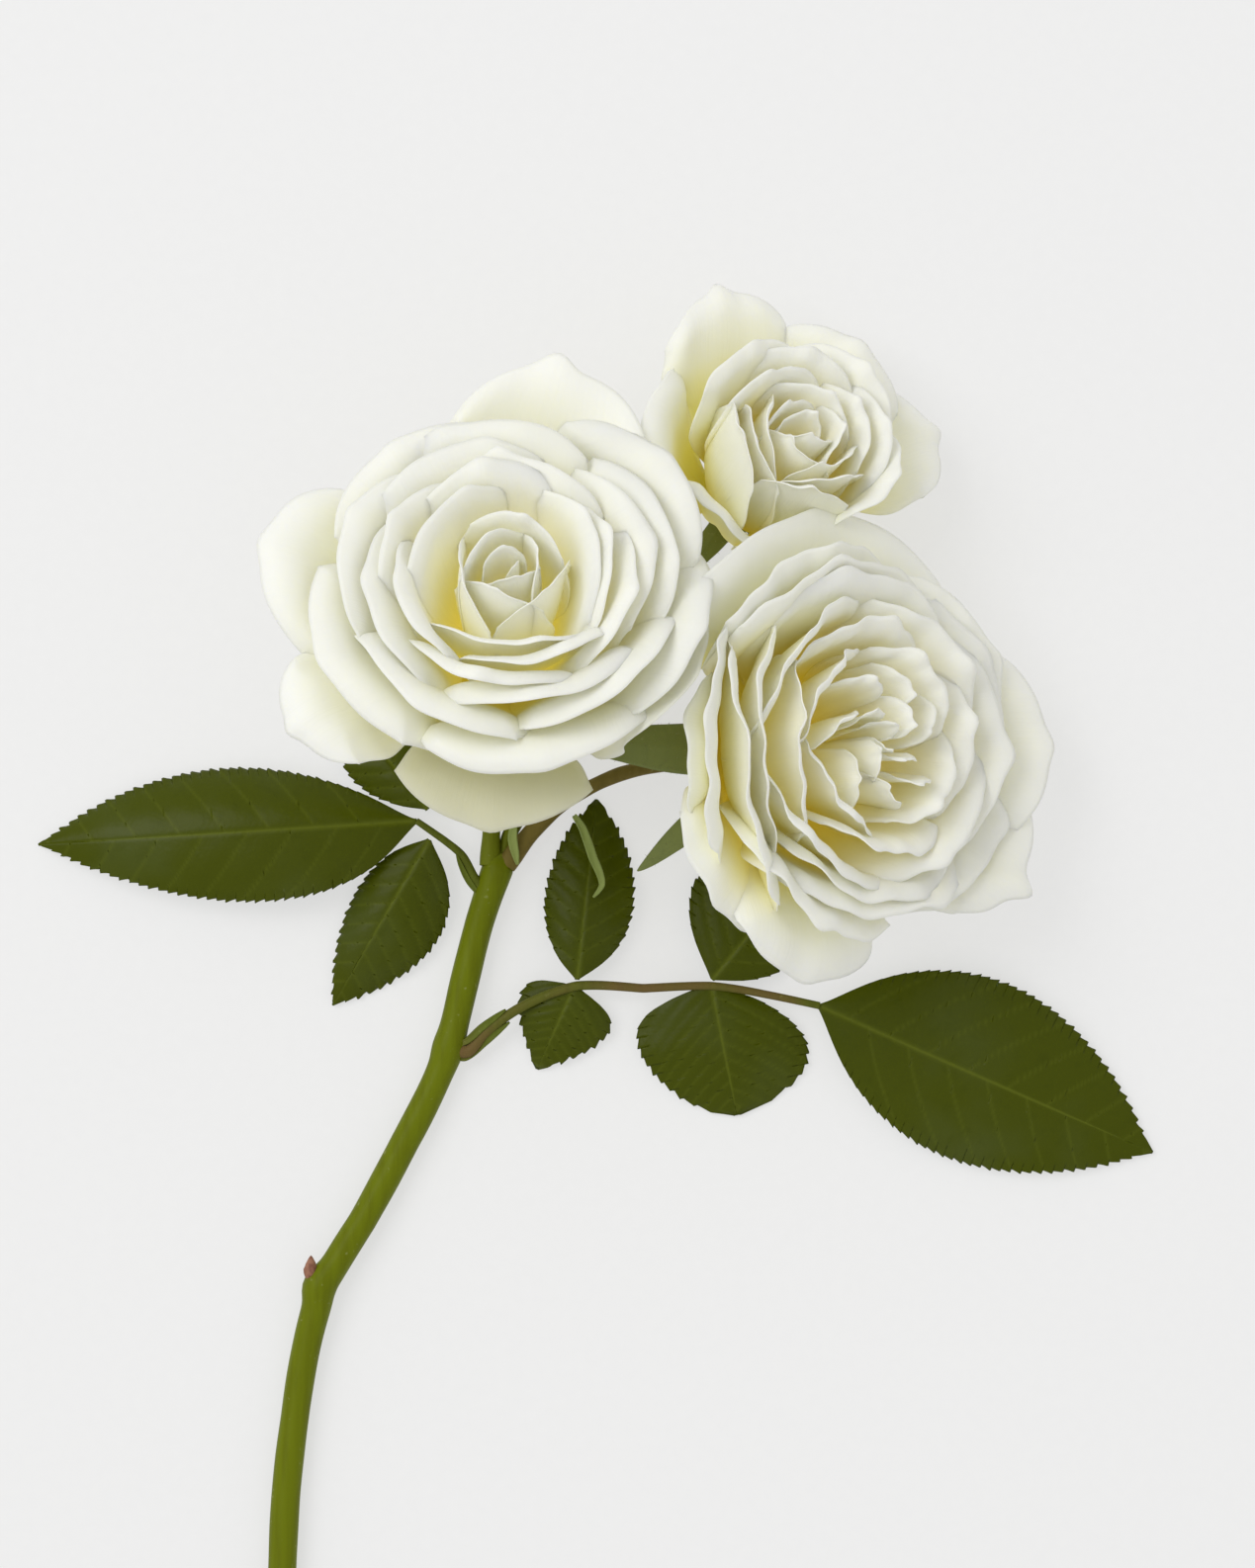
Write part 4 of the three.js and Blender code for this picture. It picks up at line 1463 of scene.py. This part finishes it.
@dataclass
class Leaflet:
    """A toothed leaflet, in millimetres from the fork.

    Attributes:
        name: Its solid's name.
        base: Where it joins the leaf stalk.
        tip: Its tip.
        left: The half width to the left, seen from above, from base to tip.
        right: The half width to the right.
        fall: How far the left and right halves fall below the midrib.
        arch: How high the midrib arches.
        widest: The share of the length where it is widest.
        blunt: The power of its outline; the smaller, the rounder its ends.
        teeth: How deep its teeth are.
        skew: How much nearer the tip its left half is widest, and the right half nearer the base.
        seed: Picks its unevenness.
    """

    name: str
    base: tuple[float, float, float]
    tip: tuple[float, float, float]
    left: float
    right: float
    fall: tuple[float, float]
    arch: float
    widest: float
    blunt: float = 0.85
    teeth: float = 0.5
    skew: float = 0.0
    seed: int = 0

    TOOTH_STEP = 1.55
    TOOTH_EDGE = 0.84
    ROWS_IN_TOOTH = np.array([0.0, 0.2, 0.4, 0.6, 0.78, 0.92, 0.995])
    VEINS = 8
    VEIN_STEPS = VEINS + 0.5
    VEIN_SHIFT = 0.25
    VEIN_WIDTH = 0.28
    MIDRIB_WIDTH = 0.34
    VEIN_DEPTH = 0.2
    LATERAL_DEPTH = 0.17

    def _frame(self) -> tuple[Array, Array, Array, float]:
        """Gives the base, the vector to the tip, the unit vector to the left, and the length."""
        base = np.array(self.base)
        along = np.array(self.tip) - base
        left = unit(np.array([-along[1], along[0], 0.0]))
        return base, along, left, float(np.linalg.norm(along))

    def _outline(self, u: Array, v: Array) -> Array:
        """Gives the half width at places across and along, as a share of the widest."""
        peak = math.log(0.5) / np.log(self.widest + self.skew * np.sign(u))
        outline = np.sin(math.pi * (0.015 + 0.975 * v) ** peak) ** self.blunt
        return outline * (1 - 0.8 * np.exp(-v / 0.06)) * (1 - 0.75 * np.exp((v - 1) / 0.05))

    @staticmethod
    def _bow(across: Array) -> Array:
        """Gives how far a side vein has run towards the tip at a distance from the midrib."""
        return 0.62 * across + 0.018 * across**2

    def surface(self, u: Array, v: Array) -> tuple[Array, Array]:
        """Gives the middle surface at places across, -1 right to 1 left, and along, 0 to 1.

        Args:
            u: Places across.
            v: Places along.

        Returns:
            The points, and how strongly a vein runs there.
        """
        base, along, left, length = self._frame()
        chance = np.random.default_rng(self.seed)
        phase = chance.uniform(0, 2 * math.pi, 6)
        outline = self._outline(u, v)
        half = np.where(u < 0, self.right, self.left) * outline
        drop = np.where(u < 0, self.fall[1], self.fall[0])
        teeth = v * length / self.TOOTH_STEP
        tooth = teeth - np.floor(teeth)
        edge = smooth(self.TOOTH_EDGE, 1.0, np.abs(u))
        uneven = 1 + 0.4 * np.sin(2.3 * np.floor(teeth) + phase[2] + np.sign(u))
        depth = self.teeth * uneven * smooth(0.06, 0.3, v) * (1 - smooth(0.93, 1.0, v))
        cut = depth * (tooth**1.4 - 0.6) * edge
        across = half * np.abs(u) + cut
        forward = 0.6 * depth * (tooth - 0.4) * edge
        point = base + along * v[..., None] + left * (np.sign(u) * across)[..., None]
        point = point + unit(along) * forward[..., None]
        spacing = length / self.VEIN_STEPS
        order = (v * length - self._bow(across)) / spacing + self.VEIN_SHIFT * np.sign(u)
        near = np.abs(order - np.round(order)) * spacing
        inside = smooth(0.02, 0.1, v) * (1 - smooth(0.93, 1.0, np.abs(u)))
        lateral = np.exp(-((near / self.VEIN_WIDTH) ** 2)) * inside * (np.round(order) > 0)
        midrib = np.exp(-((across / (self.MIDRIB_WIDTH * (1.3 - v))) ** 2))
        quilt = np.cos(2 * math.pi * order) * smooth(0.3, 2.5, across) * inside
        lift = self.arch * np.sin(math.pi * v) - drop * outline * u * u
        lift = lift - 0.07 * lateral - 0.2 * midrib - 0.05 * quilt
        lift = lift + 0.35 * np.sin(9 * v + 2 * u + phase[0]) * np.abs(u) ** 2 * outline
        lift = lift + 0.3 * np.sin(15 * v - 3 * u + phase[1]) * np.abs(u) ** 3 * outline
        point[..., 2] = np.maximum(point[..., 2] + lift, SURFACE + 0.3)
        return point, np.maximum(lateral * 0.3, midrib * 0.8)

    def body(self) -> Body:
        """Builds the leaflet."""
        length = self._frame()[3]
        teeth = int(length / self.TOOTH_STEP)
        rows = (np.arange(teeth)[:, None] + self.ROWS_IN_TOOTH[None]).reshape(-1)
        rows = np.append(rows * self.TOOTH_STEP / length, [1.0])
        rows = rows[rows <= 1.0]
        edge = [0.89, 0.93, 0.97, 1.0]
        half = np.concatenate([np.linspace(0, 0.12, 5), np.linspace(0.2, self.TOOTH_EDGE, 12), edge])
        columns = np.concatenate([-half[:0:-1], half])
        u, v = np.meshgrid(columns, rows)
        sheet, vein = self.surface(u, v)
        # Columns are turned to run from left to right, so that the front faces up.
        sheet = sheet[:, ::-1]
        thickness = 0.32 + 0.2 * vein[:, ::-1]
        values = {"across": (1 - u[:, ::-1]) / 2, "along": v[:, ::-1], "vein": vein[:, ::-1]}
        return shell(sheet, thickness, values)

    def vein_paths(self) -> tuple[list[Array], list[Array]]:
        """Gives the paths and radii of the raised veins on the underside."""
        length = self._frame()[3]
        v = np.linspace(0.0, 0.97, 40)
        points, _ = self.surface(np.zeros_like(v), v)
        paths = [points - np.array([0, 0, self.VEIN_DEPTH])]
        radii = [0.42 * (1 - 0.75 * v)]
        spacing = length / self.VEIN_STEPS
        for side, width in ((-1.0, self.right), (1.0, self.left)):
            for number in range(1, self.VEINS + 1):
                u = np.linspace(0.02, 0.9, 14) * side
                v = np.full_like(u, 0.5)
                for _ in range(12):
                    across = np.abs(u) * self._outline(np.full_like(v, side), v) * width
                    target = (number - self.VEIN_SHIFT * side) * spacing + self._bow(across)
                    v = np.clip(0.5 * v + 0.5 * target / length, 0, 0.98)
                points, _ = self.surface(u, v)
                paths.append(points - np.array([0, 0, self.LATERAL_DEPTH]))
                radii.append(np.linspace(0.2, 0.08, len(u)))
        return paths, radii

    def build(self, finish: bpy.types.Material, vein: bpy.types.Material, tree: GeometryTree) -> None:
        """Builds and dresses the leaflet and its veins."""
        piece = mesh_object(f"blade_{self.name}", self.body())
        hand_over(piece, Slot.LEAF, finish, self.name)
        paths, radii = self.vein_paths()
        paths = [np.maximum(path, [-1e9, -1e9, SURFACE + 0.15]) for path in paths]
        values = {"Step": 0.7 * MM, "Sides": 8}
        veins = tree.run(path_object(paths, radii), f"veins_{self.name}", values)
        hand_over(veins, Slot.LEAF, vein)


LEAFLETS = (
    Leaflet(
        "left_leaflet_end",
        base=(-13.6, 7.6, 5.4),
        tip=(-74.4, 3.8, 0.5),
        left=11.3, right=10.2, fall=(1.5, 5.5), arch=4.2, widest=0.45, skew=-0.05, seed=1,
    ),
    Leaflet(
        "left_leaflet_lower",
        base=(-11.6, 4.6, 4.7),
        tip=(-27.2, -22, 0.5),
        left=9.2, right=5.9, fall=(2.5, 2.5), arch=1.2, widest=0.42, seed=2,
    ),
    Leaflet(
        "left_leaflet_upper",
        base=(-11.8, 9.4, 5.3),
        tip=(-26.5, 28, 0.5),
        left=6.5, right=6, fall=(2, 2), arch=1.5, widest=0.5, seed=3,
    ),
    Leaflet(
        "right_leaflet_1_upper",
        base=(12, -17.8, 3.7),
        tip=(15.1, 11, 0.5),
        left=6.5, right=7.7, fall=(1.8, 1.8), arch=1.5, widest=0.45, blunt=0.75, seed=4,
    ),
    Leaflet(
        "right_leaflet_1_lower",
        base=(11.6, -18.8, 3.6),
        tip=(5.6, -32.2, 0.5),
        left=8.1, right=7.4, fall=(1.8, 1.4), arch=1, widest=0.29, seed=5,
    ),
    Leaflet(
        "right_leaflet_2_upper",
        base=(33.6, -17.8, 3.5),
        tip=(50.5, 3, 0.5),
        left=12.2, right=8.4, fall=(1.8, 1.8), arch=1.6, widest=0.45, seed=6,
    ),
    Leaflet(
        "right_leaflet_2_lower",
        base=(33.4, -18.6, 3.3),
        tip=(37.6, -39.6, 0.5),
        left=13.3, right=13.4, fall=(1.8, 1.8), arch=1.2, widest=0.46, blunt=0.55, skew=0.14, seed=7,
    ),
    Leaflet(
        "right_leaflet_end",
        base=(50.6, -22, 3),
        tip=(104.3, -45.6, 0.5),
        left=15.4, right=14.0, fall=(2.2, 2.2), arch=2.6, widest=0.463, seed=8,
    ),
)


@dataclass
class Bract:
    """A small strip of leaf along a path, in millimetres from the fork.

    Attributes:
        name: Its name.
        route: The points that its middle runs through.
        width: Its greatest width.
    """

    name: str
    route: tuple[tuple[float, float, float], ...]
    width: float

    def build(self, finish: bpy.types.Material, slot: Slot, *nodes: str) -> None:
        """Builds and dresses the strip, folded along its middle."""
        path = smooth_path(self.route, step=0.25)
        tangent = unit(np.gradient(path, axis=0))
        side = unit(np.cross([0, 0, 1.0], tangent))
        up = np.cross(tangent, side)
        u, v = np.meshgrid(np.linspace(1, -1, 11), np.linspace(0, 1, len(path)))
        half = self.width / 2 * np.sin(math.pi * (0.12 + 0.86 * v)) ** 0.6
        sheet = path[:, None] + side[:, None] * (half * u)[..., None]
        sheet = sheet + up[:, None] * (0.35 * half * u * u)[..., None]
        values = {"across": (u + 1) / 2, "along": v, "vein": np.exp(-((u / 0.15) ** 2))}
        piece = mesh_object(f"strip_{self.name}", shell(sheet, np.full_like(u, 0.28), values))
        hand_over(piece, slot, finish, *nodes)


STIPULES = (
    Bract(
        "stipule_upper", ((-7.4, -28.4, 3.4), (-5.6, -27.6, 3.7), (-3.4, -25.6, 3.9), (0.6, -22.6, 4.1)),
        1.1,
    ),
    Bract(
        "stipule_lower", ((-7.6, -30.2, 2.6), (-6.0, -30.4, 2.9), (-3.2, -28.2, 3.1), (1.2, -24.6, 3.5)),
        1.1,
    ),
    Bract(
        "stipule_left", ((-3.4, -4.4, 3.2), (-5.2, -2.2, 3.6), (-6.6, 0.6, 4.0), (-7.2, 2.2, 4.3)), 0.9,
    ),
)
BRACTS = (
    Bract(
        "bract_fork", ((2, 7.4, 5.2), (1.7, 4.8, 5), (2.1, 2.6, 4.6), (2.5, 0.6, 4.6)), 1.4,
    ),
    Bract(
        "bract_curled",
        ((11.6, 8.4, 5.2), (12.9, 6.4, 7.2), (14.6, 1.6, 7), (16, -2.6, 5.4), (14.6, -4.6, 5)), 1.3,
    ),
)


# ---- studio -------------------------------------------------------------------------------------


@dataclass(frozen=True)
class Studio:
    """The pale surface, the soft lights and the camera that looks straight down.

    Attributes:
        aim: The place under the camera, in millimetres from the fork.
        height: The camera's height over the surface, in millimetres.
        lens: The focal length, in millimetres, for a sensor 36 mm high.
        surface_reach: Half the side of the surface, in metres.
        surface_glow: How much the surface shines, so that it stays pale in the blooms' shade.
        daylight: The strength of the even light from all sides.
        light_place: Where the soft light hangs, in metres.
        light_size: Its side, in metres.
        light_power: Its power, in watts.
    """

    aim: tuple[float, float] = (20.07, 13.49)
    height: float = 1049.0
    lens: float = 150.0
    surface_reach: float = 3.0
    surface_glow: float = 0.58
    daylight: float = 0.72
    light_place: tuple[float, float, float] = (-0.75, 0.55, 1.25)
    light_size: float = 0.9
    light_power: float = 9.0

    DAYLIGHT = (1.0, 0.995, 0.98)
    SURFACE_DARK = (0.27, 0.27, 0.27)
    SURFACE_LIGHT = (0.29, 0.29, 0.29)

    def build(self) -> None:
        """Builds the surface, the lights and the camera."""
        self._surface()
        self._world()
        self._light()
        camera = bpy.data.cameras.new("camera")
        camera.lens = self.lens
        camera.sensor_width = 36.0
        camera.clip_end = 20.0
        holder = linked("camera", camera)
        holder.location = (
            self.aim[0] * MM + FORK_IN_FRAME[0],
            self.aim[1] * MM + FORK_IN_FRAME[1],
            self.height * MM,
        )
        bpy.context.scene.camera = holder
        bpy.context.scene.view_settings.view_transform = "Standard"
        bpy.context.scene.cycles.diffuse_bounces = 7

    def _surface(self) -> None:
        """Lays the pale surface."""
        mesh = bpy.data.meshes.new("table_top")
        half = self.surface_reach
        corners = [(-half, -half, 0), (half, -half, 0), (half, half, 0), (-half, half, 0)]
        mesh.from_pydata(corners, [], [(0, 1, 2, 3)])
        top = linked("table_top", mesh)
        shader = Shader("pale_surface", Roughness=0.9, Specular_IOR_Level=0.1)
        grain = shader.noise(shader.place(), 500, 3)
        colour = shader.mix(grain, self.SURFACE_DARK, self.SURFACE_LIGHT)
        material = shader.dress(
            Base_Color=colour, Emission_Color=(1, 1, 1), Emission_Strength=self.surface_glow
        )
        material.cycles.emission_sampling = "NONE"
        mesh.materials.append(material)

    def _world(self) -> None:
        """Lights the scene evenly from all sides."""
        world = bpy.data.worlds.new("studio")
        world.use_nodes = True
        background = world.node_tree.nodes["Background"]
        background.inputs["Color"].default_value = (*self.DAYLIGHT, 1.0)
        background.inputs["Strength"].default_value = self.daylight
        bpy.context.scene.world = world

    def _light(self) -> None:
        """Hangs a square light that faces the blooms."""
        light = bpy.data.lights.new("key", "AREA")
        light.shape = "SQUARE"
        light.size = self.light_size
        light.energy = self.light_power
        holder = linked("key", light)
        holder.location = self.light_place
        target = Vector(FORK_IN_FRAME.tolist()) - Vector(self.light_place)
        holder.rotation_euler = target.to_track_quat("-Z", "Y").to_euler()


# ---- the whole spray ----------------------------------------------------------------------------


def skin(
    name: str, green: Colour, dark: Colour, flush: Colour, flushed: float = 0.2, roughness: float = 0.5
) -> bpy.types.Material:
    """Makes the material of a skin finish."""
    return SkinFinish(name, green, dark, flush, flushed, roughness).material()


def main() -> None:
    """Builds the spray, piece by piece."""
    logging.basicConfig(level=logging.INFO, format="%(name)s: %(message)s")
    Studio().build()

    petal = PetalFinish("petal").material()
    # The inner and heart petals get more painted light, emitted in their depths.
    inner_petal = PetalFinish(
        "inner_petal",
        claw=(0.86, 0.70, 0.05),
        throat=(0.93, 0.83, 0.24),
        blade=(0.94, 0.90, 0.60),
        painted_glow=(0.07, 0.053, 0.003),
    ).material()
    heart_petal = PetalFinish(
        "heart_petal",
        claw=(0.90, 0.78, 0.12),
        throat=(0.94, 0.87, 0.38),
        blade=(0.94, 0.92, 0.74),
        painted_glow=(0.11, 0.095, 0.025),
    ).material()
    stem_skin = skin(
        "stem_skin", (0.135, 0.165, 0.003), (0.085, 0.095, 0.001), (0.16, 0.12, 0.012), 0.15, 0.42
    )
    green_skin = skin("green_pedicel", (0.14, 0.165, 0.008), (0.09, 0.10, 0.004), (0.17, 0.11, 0.02))
    brown_skin = skin("brown_pedicel", (0.17, 0.13, 0.03), (0.11, 0.085, 0.015), (0.24, 0.12, 0.065), 0.45)
    stalk_skin = skin("leaf_stalk_skin", (0.10, 0.12, 0.012), (0.06, 0.07, 0.008), (0.18, 0.09, 0.045), 0.6)
    calyx_skin = skin("calyx_skin", (0.14, 0.175, 0.018), (0.09, 0.12, 0.008), (0.2, 0.12, 0.06), 0.2, 0.6)
    stipule_skin = skin("stipule_skin", (0.12, 0.15, 0.02), (0.08, 0.10, 0.01), (0.2, 0.1, 0.05), 0.35, 0.6)
    bract_skin = skin("bract_skin", (0.27, 0.33, 0.10), (0.18, 0.23, 0.06), (0.4, 0.3, 0.15), 0.15, 0.6)
    vein_skin = skin("vein_skin", (0.12, 0.17, 0.04), (0.09, 0.13, 0.03), (0.16, 0.12, 0.05), 0.1)
    hair_skin = PlainFinish("hair", (0.30, 0.33, 0.16), (0.24, 0.2, 0.1)).material()
    bud_skin = PlainFinish("bud_skin", (0.32, 0.15, 0.09), (0.16, 0.06, 0.035), 900).material()
    leaf = LeafFinish().material()

    stalk = stalk_tree()
    hairs = hair_tree()
    blooms = (large_bloom(), right_bloom(), top_bloom())
    for bloom in blooms:
        bloom.build(petal, heart_petal if bloom.name == "large" else inner_petal)
    calyxes = (
        Calyx("large", LARGE, azimuths=(50, 122, 194, 266, 338), fall=42, length=17, width=6),
        Calyx(
            "right",
            RIGHT,
            azimuths=(30, 100, 178, 220, 304),
            fall=28,
            length=19,
            width=6,
            lengths=(1, 1, 1.62, 1.33, 1),
            widths=(1, 1, 1.7, 1.1, 1),
        ),
        Calyx("top", TOP, azimuths=(12, 84, 156, 228, 300), fall=18, length=14, width=5),
    )
    for calyx in calyxes:
        calyx.build(calyx_skin, hair_skin, hairs)
    stalks = Stalks(stalk)
    stalks.build_stem(stem_skin)
    stalks.build_bud(bud_skin)
    stalks.build_pedicels({"large": green_skin, "right": brown_skin, "top": green_skin}, blooms)
    stalks.build_leaf_stalks(stalk_skin)
    for leaflet in LEAFLETS:
        leaflet.build(leaf, vein_skin, stalk)
    for bract in BRACTS:
        bract.build(bract_skin, Slot.BRACT, bract.name)
    for stipule in STIPULES:
        stipule.build(stipule_skin, Slot.LEAF_STALK)


if __name__ == "__main__":
    main()
